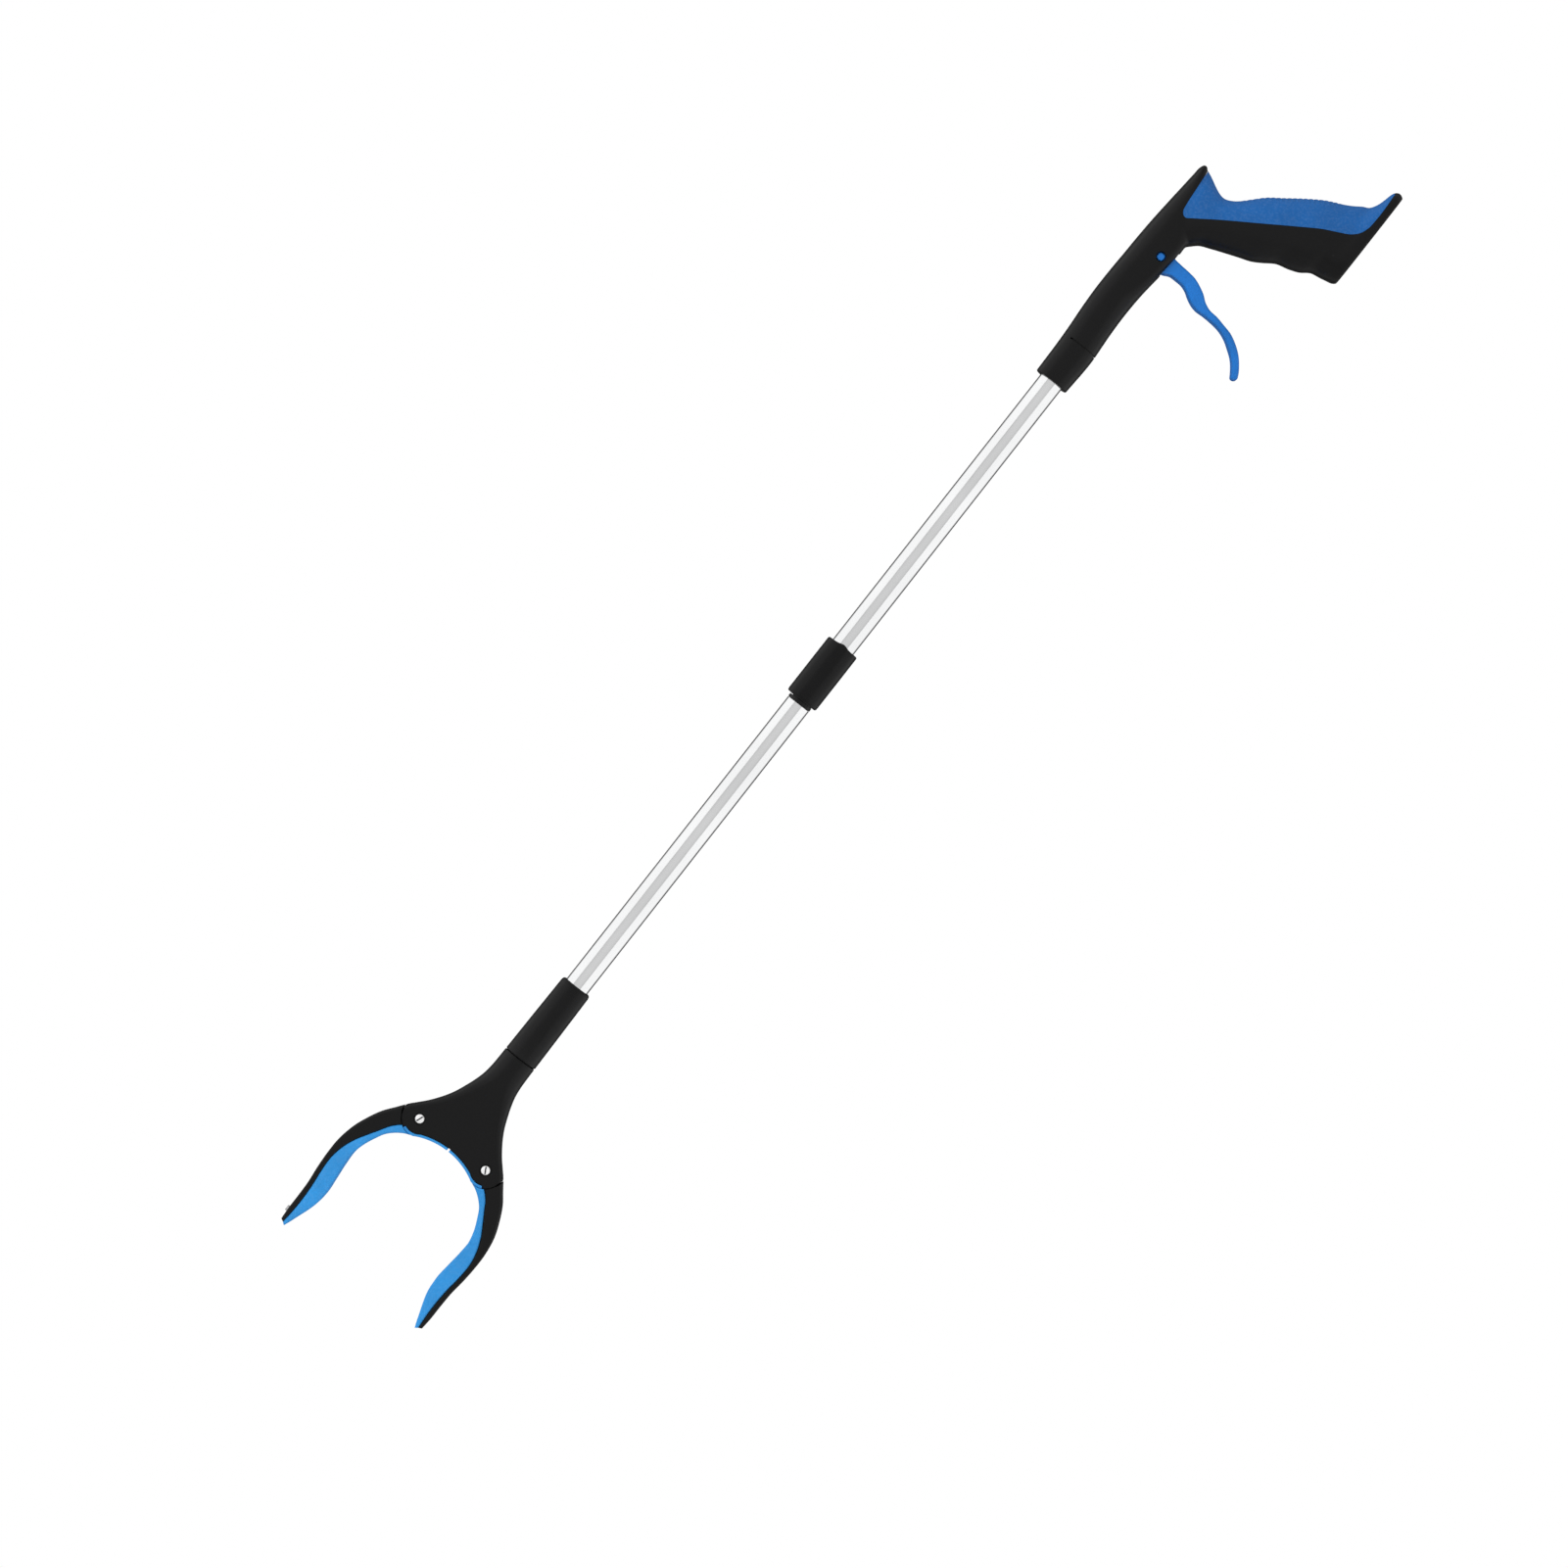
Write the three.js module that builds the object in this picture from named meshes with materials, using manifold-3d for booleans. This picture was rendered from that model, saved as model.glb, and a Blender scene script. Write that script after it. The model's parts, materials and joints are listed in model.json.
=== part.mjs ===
// Reacher grabber with a pistol-grip handle, a folding tube and a swivelling head with two jaws.
// Millimetres, +Z up. The tube runs along X with the jaws at the -X end and the grip hanging down.
// Shapes are drawn with X from the handle's collar mouth and Z from the tube's centre line, and
// moved at the end so that the origin is the centre of the flat end of the grip.

import * as THREE from 'three';
import { mergeVertices } from 'three/addons/utils/BufferGeometryUtils.js';
import Module from 'manifold-3d';

const wasm = await Module();
wasm.setup();

// ---------------------------------------------------------------- driving dimensions

const GRIP_END = { x: 182, z: -97.3 };
const SEAM_Y = 1.0;
const SEAM_GAP = 0.2;
const GAP = 0.3;

const SHELL_WALL = 2.6;
const GRIP_WALL = 5.0;
const COLLAR_GROOVE = { low: 26.5, high: 27.5, floor: 11.1, top: 7 };
const BARREL_ROOMS = [[30, 38], [42, 54], [58, 121]];
const TRIGGER_ROOM = { low: 88.5, high: 107.5, halfWidth: 9.3, top: 4 };
const CABLE_RELIEF = { low: 81, high: 90, halfWidth: 1.7 };
const HANDLE_SCREWS = [
  { x: 76, z: 5.5, top: 11.6 },
  { x: 117.5, z: 3, top: 11.4 },
  { x: 136, z: -35, top: 13.6 },
  { x: 158, z: -75, top: 13.2 },
];
const SCREW = { head: 2.7, shank: 1.3, depth: 2.2, end: -7.5, slot: 0.8, slotDepth: 0.9 };

const TUBE_RADIUS = 7.75;
const TUBE_BORE = 6.8;
const UPPER_TUBE_END = 60;
const TUBE_SIDES = 24;
const TUBE_RIVET = { x: 14, z: 4.2, radius: 1.5, halfLength: 9.3 };
const CABLE_BUSH = { low: 44, high: 55.5 };
const CABLE_RADIUS = 0.8;
const CABLE_BORE = 1.8;
const CABLE_BEND = 57;
const NIPPLE = { radius: 1.6, halfLength: 4.2 };

const TRIGGER_PIVOT = { x: 97.5, z: -5.5 };
const TRIGGER_HALF_WIDTH = 8.7;
const TRIGGER_HUB_RADIUS = 7.5;
const TRIGGER_STUB = { radius: 2.1, hole: 2.6, halfLength: 12.6, boss: 4.8 };
const CABLE_ANCHOR_RADIUS = 6.75;
const CABLE_ANCHOR_LAG = 15;

const FOLD_PIN = { x: -236.1, z: 6.5 };
const FOLD_PIN_RADIUS = 1.2;
const EYE_RADIUS = 2.6;
const EAR = { inner: 2.3, outer: 4.8, tongue: 2.0, reach: 9.6 };
const KNUCKLE = {
  radius: 7.6, plug: 6.5, plugLength: 17, upperEnd: 13.7, lowerEnd: 7.0, ringStart: 5.0, ringRadius: 7.9,
};
const KNUCKLE_RIVET = { upper: 23, lower: 16, radius: 1.2, hole: 1.5 };

const SLEEVE_LOW = -240.6;
const SLEEVE_HIGH = -199.2;
const SLEEVE_RADIUS = 10.6;
const SLEEVE_BORE = 8.4;
const SLEEVE_LIP = 5.5;
const SLEEVE_KEYWAY = { halfWidth: 5.3, reach: 9.9 };

const NECK_LOW = -511.1;
const NECK_HIGH = -456.7;
const NECK_RADIUS = 10.7;
const TUBE_SEAT_DEPTH = 29.5;
const NECK_SCREW = { x: NECK_HIGH - 13, shank: 1.3, hole: 1.5, head: 2.3, seat: 2.6, seatFloor: 9.0 };
const SPIGOT_RADIUS = 8.2;
const SPIGOT_BORE = 8.5;
const SPIGOT_END = NECK_HIGH - 32.5;
const SNAP_GROOVE = { low: -500.4, high: -498.4, inner: 7.4, outer: 9.4 };

const JAW_PIVOT = { x: -575.5, z: 24.8 };
const HEAD_WALL = 2.4;
const FRONT_WALL = 1.8;
const HEAD_FRONT = { x: -52.2, radius: 49, halfAngle: 21.5 };
const HEAD_ROOM_HALF_WIDTH = 9.1;
const HEAD_SCREWS = [[20, 14.6], [20, -14.6], [46, 6.4]];
const NECK_END = 64;
const HUB = { flank: 12.2, radius: 11.0, front: 9.2, clearance: 0.45 };
const PALM = { x: -49.9, radius: 45, halfWidth: 11.3, wrapFrom: 157, wrapTo: 194.8, reach: 29.25 };
const JAW_HALF_WIDTH = 12.5;
const FORK = { inner: 3.0, outer: 8.8, radius: 9.9 };
const CROSS_PIN = { x: -0.74, reach: 7.0, radius: 1.3 };
const PIVOT_SCREW = { shank: 1.55, bushHole: 1.8, head: 2.7, seat: 3.2, nutSeat: 3.9 };
const BUSH = { radius: 3.3, halfLength: 8.9, hole: 3.55 };
const SPRING = { low: 8.9, high: 33.1, radius: 4.3, wire: 0.5, turns: 6, room: 5.6 };
const MAGNET = { x: JAW_PIVOT.x - 91, low: 51.6, high: 54.8, radius: 1.8 };

function finish(name, color, roughness, metalness = 0) {
  return new THREE.MeshStandardMaterial({ name, color, roughness, metalness });
}

const BLACK = finish('black_plastic', 0x232324, 0.5);
const GRIP = finish('grip_rubber', 0x2c70b8, 0.7);
const TRIGGER = finish('trigger_plastic', 0x2078d7, 0.4);
const PAD = finish('pad_rubber', 0x3a94e8, 0.65);
const ALU = finish('aluminium', 0xd9dbde, 0.35, 0.9);
const STEEL = finish('steel', 0xb8bcc2, 0.25, 1);
const NYLON = finish('natural_nylon', 0xe8e4d8, 0.5);

// ---------------------------------------------------------------- shape helpers

const part = new THREE.Group();
part.name = 'reacher_grabber';

function solid(geometry) {
  const plain = geometry.clone();
  plain.deleteAttribute('normal');
  plain.deleteAttribute('uv');
  const merged = mergeVertices(plain, 1e-4);
  const corners = [];
  for (let i = 0; i < merged.index.count; i += 3) {
    const [a, b, c] = [0, 1, 2].map((k) => merged.index.getX(i + k));
    if (a !== b && b !== c && c !== a) corners.push(a, b, c);
  }
  return new wasm.Manifold(new wasm.Mesh({
    numProp: 3,
    vertProperties: new Float32Array(merged.attributes.position.array),
    triVerts: new Uint32Array(corners),
  }));
}

function addNode(name, shape, material) {
  const mesh = shape.getMesh();
  const geometry = new THREE.BufferGeometry();
  geometry.setAttribute('position', new THREE.BufferAttribute(new Float32Array(mesh.vertProperties), 3));
  geometry.setIndex(new THREE.BufferAttribute(new Uint32Array(mesh.triVerts), 1));
  geometry.translate(-GRIP_END.x, 0, -GRIP_END.z);
  geometry.computeVertexNormals();
  const node = new THREE.Mesh(geometry, material);
  node.name = name;
  part.add(node);
}

function union(shapes) {
  return shapes.reduce((sum, shape) => sum.add(shape));
}

function block(xLow, xHigh, yLow, yHigh, zLow, zHigh) {
  const geometry = new THREE.BoxGeometry(xHigh - xLow, yHigh - yLow, zHigh - zLow);
  geometry.translate((xLow + xHigh) / 2, (yLow + yHigh) / 2, (zLow + zHigh) / 2);
  return solid(geometry);
}

// Round bars along each axis, between two stations.
function rodX(low, high, radius, y = 0, z = 0, sides = 16) {
  const geometry = new THREE.CylinderGeometry(radius, radius, high - low, sides);
  geometry.rotateZ(-Math.PI / 2);
  geometry.translate((low + high) / 2, y, z);
  return solid(geometry);
}

function rodY(low, high, radius, x, z, sides = 12) {
  const geometry = new THREE.CylinderGeometry(radius, radius, high - low, sides);
  geometry.translate(x, (low + high) / 2, z);
  return solid(geometry);
}

function rodZ(low, high, radius, x, y, sides = 12) {
  const geometry = new THREE.CylinderGeometry(radius, radius, high - low, sides);
  geometry.rotateX(Math.PI / 2);
  geometry.translate(x, y, (low + high) / 2);
  return solid(geometry);
}

// A solid turned about the X axis from a profile of [x, radius] points that starts and ends on it.
function turnX(profile, sides = TUBE_SIDES) {
  const points = profile.map(([x, radius]) => new THREE.Vector2(radius, x));
  const geometry = new THREE.LatheGeometry(points, sides);
  geometry.rotateZ(-Math.PI / 2);
  return solid(geometry);
}

// A solid turned about a line along Y through (x, z), from [y, radius] points.
function turnY(profile, x, z, sides = 12) {
  const points = profile.map(([y, radius]) => new THREE.Vector2(radius, y));
  const geometry = new THREE.LatheGeometry(points, sides);
  geometry.translate(x, 0, z);
  return solid(geometry);
}

// An [x, z] outline carried along Y.
function prism(outline, yLow, yHigh, bevel = 0) {
  const shape = new THREE.Shape(outline.map(([x, z]) => new THREE.Vector2(x, z)));
  const geometry = new THREE.ExtrudeGeometry(shape, {
    depth: yHigh - yLow - 2 * bevel,
    bevelEnabled: bevel > 0,
    bevelSize: bevel,
    bevelThickness: bevel,
    bevelOffset: -bevel,
    bevelSegments: 1,
  });
  geometry.rotateX(Math.PI / 2);
  geometry.translate(0, yHigh - bevel, 0);
  return solid(geometry);
}

function arc(x, z, radius, fromDegrees, toDegrees, steps) {
  return Array.from({ length: steps + 1 }, (_, i) => {
    const angle = THREE.MathUtils.degToRad(fromDegrees + ((toDegrees - fromDegrees) * i) / steps);
    return [x + radius * Math.cos(angle), z + radius * Math.sin(angle)];
  });
}

// A smooth line through a few [x, z] points.
function smooth(points, steps) {
  const curve = new THREE.SplineCurve(points.map(([x, z]) => new THREE.Vector2(x, z)));
  return curve.getPoints(steps).map((point) => [point.x, point.y]);
}

// A ring of points on a rounded oval; a power of 2 is an ellipse and higher powers are squarer.
function oval(halfA, halfB, power, sides) {
  const squared = (value) => Math.sign(value) * Math.abs(value) ** (2 / power);
  return Array.from({ length: sides }, (_, i) => {
    const angle = (2 * Math.PI * i) / sides;
    return [halfA * squared(Math.cos(angle)), halfB * squared(Math.sin(angle))];
  });
}

// A skin over matching rings, closed with flat ends. Rings run anticlockwise seen from the far end.
function loft(rings) {
  const sides = rings[0].length;
  const middle = (ring) => (
    ring.reduce((sum, point) => sum.add(point), new THREE.Vector3()).divideScalar(sides)
  );
  const points = [...rings.flat(), middle(rings[0]), middle(rings[rings.length - 1])];
  const last = (rings.length - 1) * sides;
  const startCentre = rings.length * sides;
  const corners = [];
  for (let i = 0; i < sides; i += 1) {
    const next = (i + 1) % sides;
    for (let base = 0; base < last; base += sides) {
      corners.push(base + i, base + next, base + sides + next);
      corners.push(base + i, base + sides + next, base + sides + i);
    }
    corners.push(startCentre, next, i);
    corners.push(startCentre + 1, last + i, last + next);
  }
  const geometry = new THREE.BufferGeometry().setFromPoints(points);
  geometry.setIndex(corners);
  return solid(geometry);
}

function slab(shape, xLow, xHigh) {
  return shape.intersect(block(xLow, xHigh, -60, 60, -140, 60));
}

// ---------------------------------------------------------------- handle

// Barrel sections: station, top, bottom, half width and squareness of the lower edges.
const BARREL_SECTIONS = [
  [0, 11.1, -10.9, 11.0, 2.2],
  [27, 11.8, -11.7, 11.7, 2.2],
  [45, 13.0, -10.5, 12.5, 2.2],
  [60, 13.7, -10.2, 13.2, 2.2],
  [80, 13.5, -11.1, 13.7, 4.2],
  [95, 13.0, -12.5, 13.8, 4.4],
  [110, 12.5, -13.6, 13.6, 4.2],
  [125, 11.5, -10.5, 13.0, 2.2],
  [140, 10.3, -5.0, 11.6, 2.2],
  [150, 9.5, 1.0, 10.0, 2.2],
  [155, 9.1, 3.6, 8.4, 2.2],
  [157.2, 8.2, 5.8, 6.0, 2.2],
];
const BARREL_SQUARENESS = 2.2;

// Grip sections: height, front, back and half width.
const GRIP_SECTIONS = [
  [-97.3, 151.5, 213.0, 14.6],
  [-94.5, 149.2, 215.2, 15.8],
  [-91.2, 148.0, 213.8, 15.8],
  [-88.4, 147.3, 203.5, 15.0],
  [-84.0, 146.6, 197.4, 14.6],
  [-76.0, 142.3, 192.6, 14.8],
  [-68.0, 139.4, 188.2, 15.0],
  [-58.0, 135.5, 182.7, 15.3],
  [-48.0, 129.3, 175.8, 15.4],
  [-38.0, 125.8, 168.4, 15.4],
  [-28.0, 121.6, 159.5, 15.2],
  [-19.0, 118.0, 151.2, 14.8],
  [-13.0, 107.0, 149.1, 14.4],
  [-6.0, 108.0, 151.6, 13.6],
  [0.0, 112.0, 154.6, 12.2],
  [4.5, 118.0, 156.0, 9.5],
];

const BLUE_OUTLINE = [
  [240, 4.3], [157, 4.3], [140, 2.6], [128, 1.3], [125, -0.6], [124.6, -2.8], [126.2, -5],
  [136.2, -20], [149.2, -40], [162.3, -60], [169.2, -70], [173.8, -80], [176.9, -85.7],
  [180.8, -89.7], [186.2, -92], [240, -92],
];

function barrel(inset) {
  return loft(BARREL_SECTIONS.map(([x, top, bottom, halfWidth, lowerSquareness]) => {
    const middle = (top + bottom) / 2;
    const size = [Math.max(halfWidth - inset, 0.5), Math.max((top - bottom) / 2 - inset, 0.5)];
    const lower = oval(...size, lowerSquareness, 16);
    return oval(...size, BARREL_SQUARENESS, 16)
      .map((point, i) => (point[1] < 0 ? lower[i] : point))
      .map(([y, z]) => new THREE.Vector3(x, y, middle + z));
  }));
}

function grip(inset) {
  return loft(GRIP_SECTIONS.map(([z, front, back, halfWidth]) => {
    const power = z < -85 ? 2.8 : 2.3;
    return oval((back - front) / 2 - inset, halfWidth - inset, power, 16)
      .map(([x, y]) => new THREE.Vector3((front + back) / 2 + x, y, z + (z < -95 ? inset : 0)));
  }));
}

function handleBody(inset) {
  return barrel(inset).add(grip(inset));
}

function grown(outline, distance) {
  return outline.map(([x, z], i) => {
    const before = outline[Math.max(i - 1, 0)];
    const after = outline[Math.min(i + 1, outline.length - 1)];
    const run = new THREE.Vector2(after[0] - before[0], after[1] - before[1]).normalize();
    return [x + run.y * distance, z - run.x * distance];
  });
}

function handleShell() {
  const outer = handleBody(0);
  const inner = handleBody(1);
  const barrelRoom = barrel(SHELL_WALL);
  const rooms = BARREL_ROOMS.map(([low, high]) => slab(barrelRoom, low, high));
  const gripRoom = grip(GRIP_WALL).intersect(block(100, 220, -30, 30, -90, 1.5));
  const blueRecess = prism(grown(BLUE_OUTLINE, GAP), -40, 40).subtract(handleBody(SHELL_WALL + GAP));
  const bosses = HANDLE_SCREWS.map(({ x, z }) => rodY(-16, 16, 3.6, x, z, 8).intersect(inner));
  const pivotBoss = rodY(-13, 13, TRIGGER_STUB.boss, TRIGGER_PIVOT.x, TRIGGER_PIVOT.z).intersect(inner);
  const shell = union([outer.subtract(union([...rooms, gripRoom, blueRecess])), ...bosses, pivotBoss]);
  const { low, high, halfWidth, top } = TRIGGER_ROOM;
  const relief = CABLE_RELIEF;
  const groove = pipe(COLLAR_GROOVE.low, COLLAR_GROOVE.high, 20, COLLAR_GROOVE.floor)
    .intersect(block(20, 35, -30, 30, -30, COLLAR_GROOVE.top));
  const rivetReach = TUBE_RIVET.halfLength + GAP;
  return shell.subtract(union([
    groove,
    rodX(-1, UPPER_TUBE_END + GAP, TUBE_RADIUS + 0.2),
    rodY(-rivetReach, rivetReach, TUBE_RIVET.radius + GAP, TUBE_RIVET.x, TUBE_RIVET.z),
    block(low, high, -halfWidth, halfWidth, -30, top),
    block(relief.low, relief.high, -relief.halfWidth, relief.halfWidth, -30, 0),
    rodY(-20, 20, TRIGGER_STUB.hole, TRIGGER_PIVOT.x, TRIGGER_PIVOT.z),
  ]));
}

// A slotted screw with its head towards +Y, set by the height of its head.
function slottedScrew({ x, z, top }) {
  const seat = top - SCREW.depth + GAP / 2;
  const profile = [
    [SCREW.end, 0], [SCREW.end, SCREW.shank], [seat, SCREW.shank], [seat, SCREW.head],
    [top - 0.6, SCREW.head], [top, SCREW.head - 0.6], [top, 0],
  ];
  const slot = block(x - 3, x + 3, top - SCREW.slotDepth, top + 1, z - SCREW.slot / 2, z + SCREW.slot / 2);
  return turnY(profile, x, z).subtract(slot);
}

function buildHandle() {
  const shell = handleShell();
  const leftSide = block(-10, 230, -40, SEAM_Y - SEAM_GAP / 2, -110, 30);
  const rightSide = block(-10, 230, SEAM_Y + SEAM_GAP / 2, 40, -110, 30);
  const threads = HANDLE_SCREWS.map(({ x, z }) => rodY(SCREW.end - 1, 2, SCREW.shank + 0.2, x, z));
  const passages = HANDLE_SCREWS.map(({ x, z, top }) => (
    rodY(0, 18, SCREW.shank + GAP, x, z).add(rodY(top - SCREW.depth, 18, SCREW.head + GAP, x, z))
  ));
  addNode('handle_shell_left', shell.intersect(leftSide).subtract(union(threads)), BLACK);
  addNode('handle_shell_right', shell.intersect(rightSide).subtract(union(passages)), BLACK);

  const pads = handleBody(0).intersect(prism(BLUE_OUTLINE, -40, 40)).subtract(handleBody(SHELL_WALL));
  addNode('grip_pad_left', pads.intersect(leftSide), GRIP);
  addNode('grip_pad_right', pads.intersect(rightSide), GRIP);
  HANDLE_SCREWS.forEach((screw, i) => addNode(`handle_screw_${i + 1}`, slottedScrew(screw), STEEL));
}

// ---------------------------------------------------------------- tube in the handle

function pipe(low, high, outer, inner) {
  return rodX(low, high, outer, 0, 0, TUBE_SIDES).subtract(rodX(low - 1, high + 1, inner, 0, 0, TUBE_SIDES));
}

function buildUpperTube() {
  const start = FOLD_PIN.x + KNUCKLE.upperEnd + GAP;
  const { x, z, radius, halfLength } = TUBE_RIVET;
  const rivetHole = rodY(-12, 12, radius + GAP, x, z);
  const knuckleRivetHole = rodY(-12, 12, KNUCKLE_RIVET.hole, FOLD_PIN.x + KNUCKLE_RIVET.upper, 0);
  const tube = pipe(start, UPPER_TUBE_END, TUBE_RADIUS, TUBE_BORE);
  addNode('upper_tube', tube.subtract(rivetHole).subtract(knuckleRivetHole), ALU);
  addNode('upper_tube_rivet', rodY(-halfLength, halfLength, radius, x, z), STEEL);
  addNode('cable_guide_bush', pipe(CABLE_BUSH.low, CABLE_BUSH.high, TUBE_BORE - 0.2, CABLE_BORE), NYLON);
}

// ---------------------------------------------------------------- trigger

function anchorPoint() {
  const angle = THREE.MathUtils.degToRad(CABLE_ANCHOR_LAG);
  return {
    x: TRIGGER_PIVOT.x - CABLE_ANCHOR_RADIUS * Math.sin(angle),
    z: TRIGGER_PIVOT.z - CABLE_ANCHOR_RADIUS * Math.cos(angle),
  };
}

function buildTrigger() {
  const front = smooth([[91, -12.8], [93, -20], [91.5, -29.2], [87.2, -36.9], [86.3, -46], [86.2, -53],
    [83.1, -65.4], [76.2, -75.4], [67.7, -81.7]], 14);
  const rear = smooth([[71.5, -85.1], [80.8, -77.7], [87.7, -66.2], [90.6, -50], [92.8, -43.8],
    [98.5, -34.6], [101.2, -23.8], [102, -13]], 11);
  const tip = arc(69.2, -83.4, 2.2, 150, 290, 3);
  const hub = arc(TRIGGER_PIVOT.x, TRIGGER_PIVOT.z, TRIGGER_HUB_RADIUS, -35, 205, 8);
  const blade = prism([...front, ...tip, ...rear, ...hub], -TRIGGER_HALF_WIDTH, TRIGGER_HALF_WIDTH, 1.4);
  const stubEnd = TRIGGER_STUB.halfLength;
  const stub = rodY(-stubEnd, stubEnd, TRIGGER_STUB.radius, TRIGGER_PIVOT.x, TRIGGER_PIVOT.z);
  const anchor = anchorPoint();
  const cableSlot = block(60, anchor.x + 1.2, -1.5, 1.5, anchor.z - 1.8, 10);
  const nippleHole = rodY(-NIPPLE.halfLength - 0.4, 12, NIPPLE.radius + 0.4, anchor.x, anchor.z);
  addNode('trigger', blade.add(stub).subtract(cableSlot.add(nippleHole)), TRIGGER);
}

// A round wire through [x, z] points, drawn as rings square to the X axis.
function wire(points, radius) {
  return loft(points.map(([x, z]) => (
    oval(radius, radius, 2, 8).map(([y, dz]) => new THREE.Vector3(x, y, z + dz))
  )));
}

function buildUpperCable() {
  const anchor = anchorPoint();
  const slope = anchor.z / (anchor.x - CABLE_BEND);
  const end = anchor.x - 2.0;
  const route = [[FOLD_PIN.x + 0.8, 0], [CABLE_BEND, 0], [end, slope * (end - CABLE_BEND)]];
  addNode('pull_cable_upper', wire(route, CABLE_RADIUS), STEEL);
  const nipple = rodY(-NIPPLE.halfLength, NIPPLE.halfLength, NIPPLE.radius, anchor.x, anchor.z);
  addNode('cable_nipple_rear', nipple, STEEL);
}

// ---------------------------------------------------------------- fold joint and lock sleeve

// One half of the folding knuckle. The side is +1 for the upper half and -1 for the lower.
// The ears are trimmed round so that they stay inside the sleeve's keyway.
function knuckle(side, ears) {
  const at = (distance) => FOLD_PIN.x + side * distance;
  const span = (near, far) => [Math.min(at(near), at(far)), Math.max(at(near), at(far))];
  const topLine = FOLD_PIN.z - 0.4;
  const bodyEnd = side > 0 ? KNUCKLE.upperEnd : KNUCKLE.lowerEnd;
  const reliefEnd = side > 0 ? bodyEnd : KNUCKLE.ringStart;
  const ringSpan = span(KNUCKLE.ringStart, bodyEnd);
  const ring = side > 0 ? [] : [rodX(...ringSpan, KNUCKLE.ringRadius, 0, 0, TUBE_SIDES)];
  const body = rodX(...span(0.2, bodyEnd), KNUCKLE.radius, 0, 0, TUBE_SIDES)
    .subtract(block(...span(-1, 2.9), -12, 12, FOLD_PIN.z - 2.9, 12))
    .subtract(block(...span(2.8, reliefEnd), -12, 12, topLine, 12));
  const plug = rodX(...span(bodyEnd - 0.5, bodyEnd + KNUCKLE.plugLength), KNUCKLE.plug);
  const arm = [
    [at(0), FOLD_PIN.z - EYE_RADIUS], [at(0.3), FOLD_PIN.z - 4], [at(4.5), FOLD_PIN.z - 4],
    [at(4.5), topLine], [at(2.5), FOLD_PIN.z + 0.6], [at(0), FOLD_PIN.z + EYE_RADIUS],
  ];
  const bands = ears ? [[-EAR.outer, -EAR.inner], [EAR.inner, EAR.outer]] : [[-EAR.tongue, EAR.tongue]];
  const eyes = union(bands.flatMap(([low, high]) => [
    rodY(low, high, EYE_RADIUS, FOLD_PIN.x, FOLD_PIN.z),
    prism(arm, low, high),
  ]));
  const trimmed = eyes.intersect(rodX(FOLD_PIN.x - 9, FOLD_PIN.x + 9, EAR.reach, 0, 0, TUBE_SIDES));
  const pinHole = rodY(-9, 9, FOLD_PIN_RADIUS + 0.1, FOLD_PIN.x, FOLD_PIN.z);
  const cableBore = rodX(FOLD_PIN.x - 40, FOLD_PIN.x + 40, CABLE_BORE, 0, 0, 8);
  return union([body, plug, ...ring, trimmed]).subtract(pinHole.add(cableBore));
}

function buildFoldJoint() {
  const upperRivetX = FOLD_PIN.x + KNUCKLE_RIVET.upper;
  const lowerRivetX = FOLD_PIN.x - KNUCKLE_RIVET.lower;
  const upperHole = rodY(-12, 12, KNUCKLE_RIVET.hole, upperRivetX, 0);
  addNode('upper_knuckle', knuckle(1, true).subtract(upperHole), BLACK);
  addNode('upper_knuckle_rivet', rodY(-7.6, -2.4, KNUCKLE_RIVET.radius, upperRivetX, 0), STEEL);
  const pinEnd = EAR.outer - 0.2;
  addNode('fold_hinge_pin', rodY(-pinEnd, pinEnd, FOLD_PIN_RADIUS, FOLD_PIN.x, FOLD_PIN.z), STEEL);
  const lowerHole = rodY(0, 12, KNUCKLE_RIVET.hole, lowerRivetX, 0);
  addNode('lower_knuckle', knuckle(-1, false).subtract(lowerHole), BLACK);
  const shank = KNUCKLE_RIVET.radius;
  const rivet = [[2.6, 0], [2.6, shank], [8.0, shank], [8.0, 2.1], [8.5, 1.6], [8.7, 0]];
  addNode('lower_knuckle_rivet', turnY(rivet, lowerRivetX, 0), STEEL);
  const lowEnd = NECK_HIGH - TUBE_SEAT_DEPTH + 0.5;
  const highEnd = FOLD_PIN.x - KNUCKLE.lowerEnd - 0.2;
  const screwHole = rodY(0, 12, NECK_SCREW.hole + 0.1, NECK_SCREW.x, 0);
  const lowerTube = pipe(lowEnd, highEnd, TUBE_RADIUS, TUBE_BORE).subtract(lowerHole.add(screwHole));
  addNode('lower_tube', lowerTube, ALU);
}

function buildLockSleeve() {
  const outer = turnX([
    [SLEEVE_LOW, 0], [SLEEVE_LOW, SLEEVE_RADIUS - 1], [SLEEVE_LOW + 1, SLEEVE_RADIUS],
    [SLEEVE_HIGH - 0.6, SLEEVE_RADIUS], [SLEEVE_HIGH, SLEEVE_RADIUS - 0.6], [SLEEVE_HIGH, 0],
  ]);
  const bore = rodX(SLEEVE_LOW - 1, SLEEVE_HIGH - SLEEVE_LIP, SLEEVE_BORE, 0, 0, TUBE_SIDES);
  const lipBore = rodX(SLEEVE_LOW - 1, SLEEVE_HIGH + 1, TUBE_RADIUS + 0.2, 0, 0, TUBE_SIDES);
  const { halfWidth, reach } = SLEEVE_KEYWAY;
  const keyway = block(SLEEVE_LOW - 1, SLEEVE_HIGH - SLEEVE_LIP - 2, -halfWidth, halfWidth, 0, 12)
    .intersect(rodX(SLEEVE_LOW - 2, SLEEVE_HIGH, reach, 0, 0, TUBE_SIDES));
  addNode('lock_sleeve', outer.subtract(union([bore, lipBore, keyway])), BLACK);
}

// ---------------------------------------------------------------- neck collar and swivel

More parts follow.
